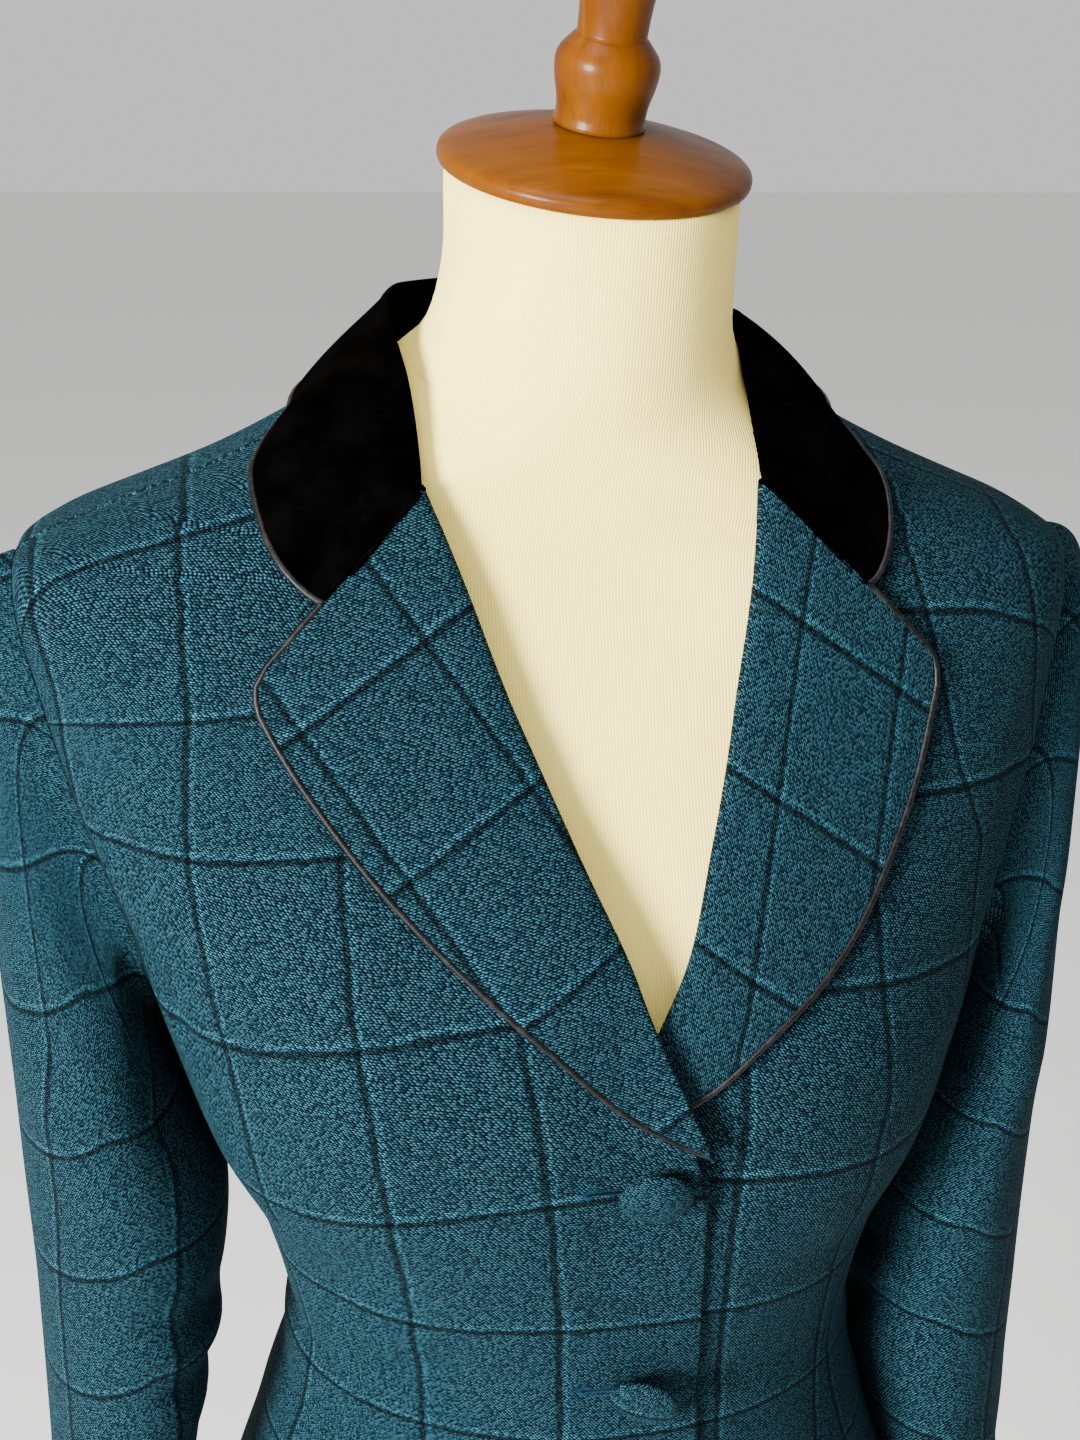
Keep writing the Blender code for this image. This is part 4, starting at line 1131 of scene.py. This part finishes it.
def collarStation(side, along):
    # one line over the collar, from its foot inside the neck over the fold to its outer edge
    angle, height, out = (tableAt(collarFoot, along, column) for column in (1, 2, 3))
    foot = bodyPoint(side * math.radians(angle), height, out)
    angle, height = (tableAt(collarEdges[side], along, column) for column in (1, 2))
    edge = bodyPoint(side * math.radians(angle), height, mix(collarBackOut, collarEdgeOut, fade(along)))
    fold = Vector([tableAt(collarFold, along, column) for column in (1, 2, 3)])
    fold.x = side * fold.x + collarSway
    if side > 0:
        fold.x -= collarCloth["leftIn"] * fade((along - 0.45) / 0.20)
    fold.z += collarCloth["leftUp" if side > 0 else "rightUp"] * bump(along - 0.52, 0.22)
    rise = (fold - foot).normalized()
    away = ((edge - fold) - rise * (edge - fold).dot(rise)).normalized()
    radius = mix(collarCloth["foldBack"], collarCloth["foldFront"], along)
    centre = fold - rise * radius + away * radius
    bulge = mix(collarCloth["bulgeBack"], collarCloth["bulgeFront"], fade((along - 0.45) / 0.35))
    return side, along, foot, edge, centre, rise, away, radius, bulge


def gorgePoint(side, across):
    # the lapel's top edge, which the collar's end meets
    top = rollLine[-1].height
    roll = Vector((rollX(side, top), top))
    wayOut = Vector((closureAt(notch.height) + side * notch.side, notch.height)) - roll
    length = wayOut.length
    wayOut /= length
    if across < foldShare:
        inward, out = turnedOut(across, foldShare)
        spot = roll + wayOut * (inward + collarCloth["gorgeOut"])
    else:
        share = (across - foldShare) / (1 - foldShare)
        spot = roll + wayOut * mix(lapelRoll[-1].inward, length, share)
        out = flatOut(share, collarEdgeOut)
    return bodyPoint(*frontPlace(spot.x, spot.y), out + 0.0002)


def collarPoint(station, across):
    side, along, foot, edge, centre, rise, away, radius, bulge = station
    if across < standShare:
        point = foot.lerp(centre - away * radius, across / standShare)
    elif across < foldShare:
        turn = math.pi * (across - standShare) / (foldShare - standShare)
        point = centre - away * radius * math.cos(turn) + rise * radius * math.sin(turn)
    else:
        share = (across - foldShare) / (1 - foldShare)
        start = centre + away * radius
        fall = edge - start
        upward = (rise - fall * rise.dot(fall) / fall.length_squared).normalized()
        point = start + fall * share + upward * bulge * 4 * share * (1 - share)
    toGorge = fade((along - 0.76) / 0.237)
    return point.lerp(gorgePoint(side, across), toGorge) if toGorge > 0 else point


def makeCollar():
    along = edgeShares(collarCloth["stations"], collarCloth["long"], False)
    steps = [share ** 0.9 * 0.997 for share in along]
    stations = [(-1, along) for along in steps[::-1]] + [(1, along) for along in steps[1:]]
    across = [share * standShare for share in shares(collarCloth["stand"])][:-1]
    across += [mix(standShare, foldShare, share) for share in shares(collarCloth["fold"])][:-1]
    fall = edgeShares(collarCloth["fall"], collarCloth["wide"], False)
    across += [mix(foldShare, 1.0, share) for share in fall]
    rows = []
    for side, along in stations:
        station = collarStation(side, along)
        rows.append([collarPoint(station, share) for share in across])
    reach, run = reachesOf(rows)
    grain = [[(reach[j][i], run[j][i]) for i in range(len(across))] for j in range(len(rows))]
    shaped = shapeRows(rows, -1, None, collarCloth["hem"])
    thing = addSheet("collar_velvet", shaped, grain, (velvetLook,), -1, collarCloth["wall"],
                     "collar")
    return thing, rows


# Sleeves
sleeveCloth = {
    "armholePoints": 192, "capRows": 52, "capLong": 0.150, "rows": 84, "long": 0.385,
    "topColumns": 58, "topWide": 0.190, "underColumns": 30, "underWide": 0.095, "overlap": 0.05,
    "outerDrop": 0.018, "head": 0.060, "foot": 0.018, "puffRight": 0.012, "puffLeft": 0.014, "puffShare": 0.33,
    "girth": 0.045, "hem": Hem(0.0006, 0.0006, 0.0007, 0.0012),
}
SleeveRow = namedtuple("SleeveRow", "lift right left")
sleeveRows = tableOf(
    SleeveRow,
    (-0.64, -8.3, -7.2), (-0.451, -5.15, -4), (-0.392, -4.17, -3), (-0.343, -3.29, -2), (-0.294, -2.41, -1),
    (-0.243, -1.53, 0), (-0.191, -0.62, 1), (-0.139, 0.39, 2), (-0.078, 1.45, 3), (0, 2.7, 4.2),
)
# where the sleeve's lengthwise check line runs, from its middle
SleeveLine = namedtuple("SleeveLine", "height right left")
sleeveLines = tableOf(
    SleeveLine,
    (-0.64, 0.025, 0.008), (-0.44, 0.026, 0.008), (-0.36, 0.03, 0.008), (-0.24, 0.056, 0.01),
    (-0.15, 0.064, 0.012), (0, 0.066, 0.012),
)


@lru_cache(maxsize=2000)
def ringAt(height):
    return Ring(*[tableAt(sleeveRings, height, column) for column in range(len(Ring._fields))])


def ringPoint(side, turn, height):
    row = ringAt(height)
    inwards, out = (row.leftIn, row.leftOut) if side > 0 else (row.rightIn, row.rightOut)
    lean = -math.radians(row.turn)
    x, y = (row.wide + (inwards + out) / 2) * math.cos(turn), -row.deep * math.sin(turn)
    spotX, spotY = x * math.cos(lean) - y * math.sin(lean), x * math.sin(lean) + y * math.cos(lean)
    return Vector((side * (row.x + (out - inwards) / 2 + spotX) + sleeveSway, row.y + spotY, height))


def sleeveColumn(side, turn, armhole, drops):
    # one line down the sleeve from the armhole to the cuff
    radians = math.radians(turn)
    bicep, cuff = sleeveRings[0].height, sleeveRings[-1].height
    count = len(armhole) - 1
    place = turn / 360.0 * count
    index = math.floor(place) % count
    hole = [mix(low, high, place - math.floor(place)) for low, high in zip(armhole[index], armhole[index + 1])]
    start = bodyPoint(*hole)
    before, after = (bodyPoint(*armhole[(index + step) % count]) for step in (-1, 2))
    away = bodyNormal(*hole).cross(after - before).normalized() * side
    top = (1 + math.cos(radians)) / 2
    outward = (away * top + Vector((side, 0.0, -0.35)) * (1 - top)).normalized()
    start = start + outward * capGap
    end = ringPoint(side, radians, bicep)
    push = outward * mix(sleeveCloth["foot"], sleeveCloth["head"], top)
    drop = Vector((0, 0, -1)) * (end - start).length
    line = []
    for along in drops:
        if along >= capShare:
            line.append(ringPoint(side, radians, mix(bicep, cuff, (along - capShare) / (1 - capShare))))
            continue
        share = along / capShare
        near = (2 * share ** 3 - 3 * share ** 2 + 1) * start + (share ** 3 - 2 * share ** 2 + share) * push
        far = (3 * share ** 2 - 2 * share ** 3) * end + (share ** 3 - share ** 2) * drop
        # a little fulness just below the armhole's seam
        reach = share / sleeveCloth["puffShare"]
        puff = sleeveCloth["puffLeft" if side > 0 else "puffRight"] * top * reach
        puff *= math.exp(1 - reach) * (1 - share * share)
        line.append(near + far + Vector((side, 0, 0.30)) * puff)
    return line


def makeSleeve(side):
    armhole = armholeLine(side, sleeveCloth["armholePoints"])
    bicep = sleeveRings[0].height
    capShares = edgeShares(sleeveCloth["capRows"], sleeveCloth["capLong"], True, False)
    drops = [share * capShare for share in capShares][:-1]
    drops += [mix(capShare, 1.0, share) for share in edgeShares(sleeveCloth["rows"], sleeveCloth["long"], False)]
    bicepRow = next(j for j, drop in enumerate(drops) if drop >= capShare)
    over = sleeveCloth["overlap"]
    pieces = (("top", backSeamTurn - 360.0, frontSeamTurn), ("under", frontSeamTurn, backSeamTurn))
    for name, start, end in pieces:
        columns, width = sleeveCloth[name + "Columns"], sleeveCloth[name + "Wide"]
        turns = [mix(start - over, end + over, share) for share in edgeShares(columns, width)]
        rows = list(zip(*(sleeveColumn(side, turn, armhole, drops) for turn in turns)))
        across, along = reachesOf(rows)
        places = []
        for j, row in enumerate(rows):
            middle = across[j][len(row) // 2]
            line = []
            for i, (turn, point) in enumerate(zip(turns, row)):
                height = bicep + along[bicepRow][i] - along[j][i]
                outer = sleeveCloth["outerDrop"] * max(math.cos(math.radians(turn)), 0.0)
                v = straightAt(sleeveRows, height + outer, sideColumn(side)) * checkCloth["tall"]
                u = side * (across[j][i] - middle) + straightAt(sleeveLines, height, sideColumn(side))
                level = height if j >= bicepRow else point.z
                rise = creaseAt(sleeveCreases, turn % 360, level, sleeveCloth["girth"])
                line.append(Place(point, (u, v), rise))
            places.append(line)
        thing, rows = addPanel(side, name + "_sleeve", places, sleeveCloth["hem"])
        declareCloth(thing, rows)


# The sewn seam's turned-in cloth, which closes the armhole; its near-black colour is painted shade in the joint
armholeSeam = {"radius": 0.0015, "sink": 0.0015, "points": 128, "segments": 2, "fuller": 1.3}


def makeArmholeSeam(side):
    places = armholeLine(side, armholeSeam["points"])[:-1]
    path = [bodyPoint(*place) - bodyNormal(*place) * armholeSeam["sink"] for place in places]
    radii = [mix(1.0, armholeSeam["fuller"], fade((-0.110 - point.z) / 0.05)) for point in path]
    addCord("armhole_seam_shade_" + sideName(side), path, radii, armholeSeam, seamShadeLook, closed=True)


# Piping
piping = {"radius": 0.00130, "reach": 0.0006, "sink": 0.0007, "segments": 3}


def addPiping(name, pairs, node):
    # a cord along an edge, from the edge's points, points further in, and normals
    path = []
    for number, (edge, inside, down) in enumerate(pairs):
        along = pairs[min(number + 1, len(pairs) - 1)][0] - pairs[max(number - 1, 0)][0]
        out = edge - inside
        out -= along * out.dot(along) / along.length_squared
        path.append(edge + out.normalized() * piping["reach"] - down * piping["sink"])
    radii = [1.0 + 0.07 * math.sin(number * 0.9) * math.sin(number * 0.37) for number in range(len(path))]
    return addCord(name, path, radii, piping, leatherLook, node)


def pipingPairs(rows, normals):
    return [(row[-1], row[-7], normal[-1]) for row, normal in zip(rows, normals)]


def makeLapelPiping(side, rows):
    normals = normalsOf(rows, -side)
    last = len(rows[0]) - 1
    top = [(rows[0][i], rows[7][i], normals[0][i]) for i in range(last - 26, last - 6, 2)
           if side * (rows[0][i].x - closureAt(notch.height)) > notch.side - 0.0010]
    corner = (rows[2][-1], rows[9][-8], normals[2][-1])
    outer = pipingPairs(rows, normals)
    pairs = [*top, corner, *outer[7::2], outer[-1]]
    return addPiping("lapel_cord_" + sideName(side), pairs, "lapel_piping_" + sideName(side))


def makeCollarPiping(rows):
    return addPiping("collar_cord", pipingPairs(rows, normalsOf(rows, -1))[::2], "collar_piping")


# Buttons, covered with the coat's own cloth, and their keyhole buttonholes
ButtonPose = namedtuple("ButtonPose", "droop lean spin")
buttonShape = {
    "poses": (ButtonPose(23, 0, 20), ButtonPose(20, -24, 58), ButtonPose(15, -2, 20)),
    "steps": 40, "rim": 0.0122, "gap": 0.0006, "shank": 0.0014, "up": (0.0016, 0.0016, 0.0),
    "across": (0.021, 0.0005, 0.021), "along": 0.020,
}
Turn = namedtuple("Turn", "radius height")
buttonTurns = tableOf(
    Turn,
    (0, 0.0067), (0.0029, 0.0066), (0.0056, 0.0063), (0.008, 0.0058), (0.01, 0.0051), (0.0115, 0.0042),
    (0.0126, 0.0033), (0.0132, 0.0025), (0.0133, 0.0018), (0.0128, 0.001), (0.0118, 0.0004),
    (0.0105, 0.0001), (0.0078, 0.0005), (0.0044, 0.0005), (0, 0.0005),
)
holeShape = {
    "length": 0.0275, "eye": 0.0020, "slit": 0.00042, "past": 0.001, "near": 0.00035, "reach": 0.0012,
    "thick": 0.00017, "pitch": 0.00046, "stitches": 22, "sunk": -0.00005, "raised": 0.00012,
    "eyeCut": 0.0009, "cutDeep": 0.0004,
}
weldReach = 0.00002


def turnedMesh(turns, steps):
    bm = bmesh.new()
    verts = [bm.verts.new((row.radius, 0, row.height)) for row in turns]
    for one, two in zip(verts, verts[1:]):
        bm.edges.new((one, two))
    bmesh.ops.spin(bm, geom=bm.verts[:] + bm.edges[:], axis=(0, 0, 1), cent=(0, 0, 0), steps=steps,
                   angle=2 * math.pi, use_merge=True)
    bmesh.ops.remove_doubles(bm, verts=bm.verts, dist=weldReach)
    bmesh.ops.recalc_face_normals(bm, faces=bm.faces)
    for face in bm.faces:
        face.smooth = True
    return bm


def turnTo(axis):
    return Vector((0, 0, 1)).rotation_difference(axis).to_matrix().to_4x4()


def standing(point, axis, spin=0.0):
    place = Matrix.Translation(point + Vector((0, 0, napeHeight)))
    return place @ turnTo(axis) @ Matrix.Rotation(math.radians(spin), 4, "Z")


@lru_cache(maxsize=20000)
def lapSurface(x, z):
    # outer face of the lapped front, creases and all
    angle, height = angleAt(x, z), z
    return bodyPoint(angle, height, lapLift(-1, x, height) + bodyCrease(angle, height))


def onCloth(x, z, lift=0.0):
    return lapSurface(x, z) + bodyNormal(angleAt(x, z), z) * lift


def makeButton(number, height):
    pose = buttonShape["poses"][number]
    x = closureAt(height)
    normal = bodyNormal(angleAt(x, height), height)
    droop, lean = math.radians(pose.droop), math.radians(pose.lean)
    face = normal - Vector((0, 0, 1)) * math.tan(droop) + Vector((1, 0, 0)) * math.tan(lean)
    face.normalize()
    # the button's rim rests on the cloth round its middle
    middle = lapSurface(x, height)
    reach = buttonShape["rim"]
    rim = [lapSurface(x + reach * math.cos(turn), height + reach * math.sin(turn))
           for turn in (math.radians(step * 15) for step in range(24))]
    seat = max((point - middle).dot(face) for point in rim)
    bm = turnedMesh(buttonTurns, buttonShape["steps"])
    layer = bm.loops.layers.uv.new("grain")
    across, along = buttonShape["across"][number], buttonShape["along"] + number * checkCloth["tall"]
    for facet in bm.faces:
        for loop in facet.loops:
            spot = loop.vert.co
            flat = math.hypot(spot.x, spot.y)
            grow = 1.0 + max(buttonTurns[0].height - spot.z, 0.0) / max(flat, 0.004) * 0.6
            loop[layer].uv = (spot.x * grow + across, spot.y * grow + along)
    back = middle + face * (max(seat, 0.0) + buttonShape["gap"]) + Vector((0, 0, buttonShape["up"][number]))
    bmesh.ops.transform(bm, matrix=standing(back, face, pose.spin), verts=bm.verts)
    addPiece(f"button_cover_{number + 1}", bm, (clothLook,), f"button_{number + 1}")
    bm = bmesh.new()
    addStitch(bm, middle - normal * 0.0002, back + face * 0.0004, buttonShape["shank"])
    addPiece(f"button_shank_{number + 1}", bm, (threadLook,))


def addStitch(bm, start, end, thick):
    along = end - start
    place = Matrix.Translation((start + end) / 2 + Vector((0, 0, napeHeight))) @ turnTo(along)
    bmesh.ops.create_cone(bm, cap_ends=True, segments=5, radius1=thick, radius2=thick, depth=along.length,
                          matrix=place)


def makeButtonhole(number, height):
    right = closureAt(height) + holeShape["past"]
    left = right - holeShape["length"] + holeShape["eye"]
    sunk, raised, thick = holeShape["sunk"], holeShape["raised"], holeShape["thick"]
    bm = bmesh.new()
    count = round((right - left) / holeShape["pitch"])
    for side in (-1, 1):
        for step in range(count):
            x = mix(left, right, step / count)
            wobble = 0.00018 * math.sin(step * 2.1 + side) + 0.0001 * math.sin(step * 5.3)
            inner = onCloth(x, height + side * holeShape["near"], sunk)
            outer = onCloth(x + wobble, height + side * (holeShape["reach"] + wobble), raised)
            addStitch(bm, inner, outer, thick)
    for step in range(holeShape["stitches"]):
        turn = math.radians(mix(52, 308, step / (holeShape["stitches"] - 1)))
        x = left + 0.0002
        near, far = holeShape["eye"] * 0.45, holeShape["eye"] * 1.20 + 0.0003 * math.sin(step * 3.3)
        inner = onCloth(x + near * math.cos(turn), height + near * math.sin(turn), sunk)
        outer = onCloth(x + far * math.cos(turn), height + far * math.sin(turn), raised)
        addStitch(bm, inner, outer, thick)
    addPiece(f"buttonhole_{number + 1}", bm, (threadLook,))
    # the cut itself, a near-black slit with a round eye: painted shade inside the cut
    bm = bmesh.new()
    addStitch(bm, onCloth(left, height), onCloth(right, height), holeShape["slit"])
    eye = standing(onCloth(left, height), bodyNormal(angleAt(left, height), height))
    bmesh.ops.create_cone(bm, cap_ends=True, segments=14, radius1=holeShape["eyeCut"],
                          radius2=holeShape["eyeCut"], depth=holeShape["cutDeep"], matrix=eye)
    addPiece(f"buttonhole_cut_shade_{number + 1}", bm, (cutShadeLook,))


# Form, its cap and finial, and the stand
formShape = {
    "around": 120, "rows": 110, "neckRows": 10, "bodyAround": 48, "bodyRows": 44, "body": 0.0020,
    "wall": 0.0014, "round": 0.010, "neckFoot": 0.010, "neckLeftIn": 0.0030, "neckRightIn": 0.0026,
}


def formPoint(angle, height):
    side, front = tableAt(formEase, height, 1), tableAt(formEase, height, 2)
    inside = mix(side, front, max(math.cos(angle), 0.0) ** 2)
    point = bodyPoint(angle, height, -inside)
    point.z = mix(point.z, bodyBase(angle, height).z, fade((-0.60 - height) / 0.08))
    # the neck is slimmer than the body's line, each side in its own way
    if point.x > 0:
        neck = -formShape["neckLeftIn"] * fade((height + 0.010) / 0.030)
    else:
        neck = formShape["neckRightIn"] * bump(height - 0.036, 0.022)
    point.x += neck * min(abs(math.sin(angle)) * 1.5, 1.0)
    return point


def formRows(around, steps, inset):
    # rows from the turned-in foot to the neck's rim
    radius = formShape["round"]
    turned = [math.radians(90 * share) for share in shares(5)[:-1]]
    heights = [(formBottom + radius * (1 - math.cos(turn)), radius * (1 - math.sin(turn))) for turn in turned]
    heights += [(mix(formBottom + radius, formShape["neckFoot"], share), 0.0) for share in shares(steps)]
    heights += [(mix(formShape["neckFoot"], neckTopHeight - inset, share), 0.0)
                for share in shares(formShape["neckRows"])][1:]
    rows = []
    for height, tuck in heights:
        middle = sectionAt(height)
        line = []
        for number in range(around + 1):
            angle = -math.pi + 2 * math.pi * number / around
            point = formPoint(angle, height)
            inwards = Vector((middle.sway - point.x, middle.centre - point.y, 0)).normalized()
            line.append(point + inwards * (tuck + inset))
        rows.append(line)
    return rows


def closedTube(name, rows, grain):
    bm, layer = gridMesh(rows, grain)
    bmesh.ops.remove_doubles(bm, verts=bm.verts, dist=weldReach)
    ends = bmesh.ops.holes_fill(bm, edges=[edge for edge in bm.edges if edge.is_boundary], sides=0)["faces"]
    for face in ends:
        for loop in face.loops:
            loop[layer].uv = (loop.vert.co.x, loop.vert.co.y)
    bmesh.ops.recalc_face_normals(bm, faces=bm.faces)
    return addPiece(name, bm, (jerseyLook,), "form_torso")


def makeForm():
    rows = formRows(formShape["bodyAround"], formShape["bodyRows"], formShape["body"])
    closedTube("form_body", rows, [[(0, 0)] * len(row) for row in rows])
    rows = formRows(formShape["around"], formShape["rows"], 0.0)
    across, along = reachesOf(rows)
    middle = formShape["around"] // 2
    grain = [[(reach - line[middle], run) for reach, run in zip(line, runs)]
             for line, runs in zip(across, along)]
    cover = closedTube("form_cover", rows, grain)
    addWall(cover, formShape["wall"])
    declareCloth(cover, rows)


topShape = {"capSteps": 72, "finialSteps": 56, "finialLean": 2.0, "capUp": 0.0003, "finialUp": 0.0021}
finialTurns = tableOf(
    Turn,
    (0, 0.096), (0.0042, 0.0956), (0.0082, 0.0944), (0.0122, 0.0921), (0.016, 0.0889), (0.0191, 0.0849),
    (0.0214, 0.08), (0.0227, 0.0746), (0.023, 0.069), (0.0222, 0.0632), (0.0204, 0.0573), (0.0178, 0.0523),
    (0.0153, 0.0483), (0.0136, 0.0445), (0.0127, 0.0405), (0.0122, 0.0345), (0.012, 0.029),
    (0.0121, 0.0283), (0.0129, 0.0279), (0.014, 0.0266), (0.0154, 0.025), (0.0168, 0.0233),
    (0.0178, 0.0212), (0.0182, 0.0189), (0.018, 0.0158), (0.0174, 0.0121), (0.0165, 0.0089),
    (0.0159, 0.006), (0.0156, 0.003), (0.0156, 0.0008), (0.0161, -0.0002), (0.0161, -0.0016),
    (0.0158, -0.0018), (0, -0.0018),
)
capTurns = tableOf(
    Turn,
    (0, 0.0157), (0.015, 0.0156), (0.022, 0.0144), (0.031, 0.0121), (0.04, 0.0098), (0.047, 0.0079),
    (0.0515, 0.0065), (0.0536, 0.0055), (0.0547, 0.0045), (0.0551, 0.0032), (0.055, 0.0016),
    (0.0544, 0.0004), (0.0538, 0), (0, 0),
)
baseTurns = tableOf(
    Turn,
    (0, 0.06), (0.0215, 0.06), (0.0235, 0.0597), (0.0258, 0.0585), (0.027, 0.0568), (0.0274, 0.0535),
    (0.028, 0.048), (0.0292, 0.043), (0.033, 0.0366), (0.04, 0.0326), (0.052, 0.0301), (0.09, 0.0284),
    (0.13, 0.0274), (0.145, 0.0269), (0.152, 0.0256), (0.1562, 0.0228), (0.158, 0.0196), (0.1602, 0.018),
    (0.165, 0.0174), (0.1685, 0.0155), (0.17, 0.0118), (0.17, 0.0034), (0.1692, 0.0012), (0.167, 0), (0, 0),
)
standShape = {"baseSteps": 88, "poleSteps": 48, "poleRadius": 0.0165, "poleEdge": 0.0006, "gap": 0.0003}


def makeNeckTop():
    # the cap lies on the neck's tilted rim
    rim = {angle: formPoint(math.radians(angle), neckTopHeight) for angle in range(-180, 180, 10)}
    middle = sum(rim.values(), Vector()) / len(rim)
    axis = (rim[90] - middle).cross(rim[-180] - middle).normalized()
    axis *= math.copysign(1, axis.z)
    bm = turnedMesh(capTurns, topShape["capSteps"])
    bmesh.ops.transform(bm, matrix=standing(middle + axis * topShape["capUp"], axis), verts=bm.verts)
    addPiece("neck_cap_turned", bm, (lyingWood,), "neck_cap")
    bm = turnedMesh(finialTurns, topShape["finialSteps"])
    tipped = (axis + Vector((1, 0, 0)) * math.tan(math.radians(topShape["finialLean"]))).normalized()
    foot = middle + axis * (capTurns[0].height + topShape["finialUp"])
    bmesh.ops.transform(bm, matrix=standing(foot, tipped), verts=bm.verts)
    addPiece("finial_turned", bm, (standingWood,), "finial")


def makeStand():
    bm = turnedMesh(baseTurns, standShape["baseSteps"])
    addPiece("stand_base_turned", bm, (standingWood,), "stand_base")
    top = napeHeight + formBottom - standShape["gap"]
    foot = baseTurns[0].height + standShape["gap"]
    radius, edge = standShape["poleRadius"], standShape["poleEdge"]
    turns = tableOf(Turn, (0, top), (radius - edge, top), (radius, top - edge), (radius, mix(foot, top, 0.5)),
                    (radius, foot + edge), (radius - edge, foot), (0, foot))
    bm = turnedMesh(turns, standShape["poleSteps"])
    addPiece("stand_pole_turned", bm, (standingWood,), "stand_pole")


makeForm()
makeNeckTop()
makeStand()
print("form and stand made")

collar, collarRows = makeCollar()
for side in (-1, 1):
    front, frontRows = makeFront(side)
    lapel, lapelRows = makeLapel(side)
    makeSide(side)
    makeBack(side)
    makeSleeve(side)
    makeArmholeSeam(side)
    cord = makeLapelPiping(side, lapelRows)
    declareCloth(front, frontRows)
    declareCloth(lapel, lapelRows)
    print("pieces made, wearer's", sideName(side))
cord = makeCollarPiping(collarRows)
declareCloth(collar, collarRows)
for number, height in enumerate(buttonHeights):
    makeButton(number, height)
    makeButtonhole(number, height)
print("buttons made")


# Floor and light
studio = {
    "floor": (0.80, 0.80, 0.79), "floorHalf": 20.0, "world": (1.0, 1.0, 1.0), "worldStrength": 0.78,
    "aim": napeHeight - 0.20,
}
StudioLight = namedtuple("StudioLight", "name place wide power")
studioLights = tableOf(
    StudioLight,
    ("key", (-2.36, -2.04, 1.7), 1.2, 530),
    ("top", (-0.5, -0.7, 3.6), 1.6, 60),
)


def addStudio():
    bm = bmesh.new()
    bmesh.ops.create_grid(bm, x_segments=1, y_segments=1, size=studio["floorHalf"])
    mesh = bpy.data.meshes.new("studio_floor")
    bm.to_mesh(mesh)
    bm.free()
    material, tree, shader = newMaterial("studio_floor")
    setShader(tree, shader, Base_Color=(*studio["floor"], 1), Roughness=0.9)
    mesh.materials.append(material)
    addObject("studio_floor", mesh)
    world = bpy.data.worlds.new("studio")
    world.use_nodes = True
    sky = world.node_tree.nodes["Background"]
    sky.inputs[0].default_value = (*studio["world"], 1)
    sky.inputs[1].default_value = studio["worldStrength"]
    bpy.context.scene.world = world
    for row in studioLights:
        lamp = bpy.data.lights.new(row.name, "AREA")
        lamp.shape = "DISK"
        lamp.size = row.wide
        lamp.energy = row.power
        thing = addObject(row.name, lamp)
        thing.location = row.place
        aim = Vector((0, 0, studio["aim"])) - Vector(row.place)
        thing.rotation_euler = aim.to_track_quat("-Z", "Y").to_euler()


addStudio()
print("cut of each sheet, width, length and area:", cutList)
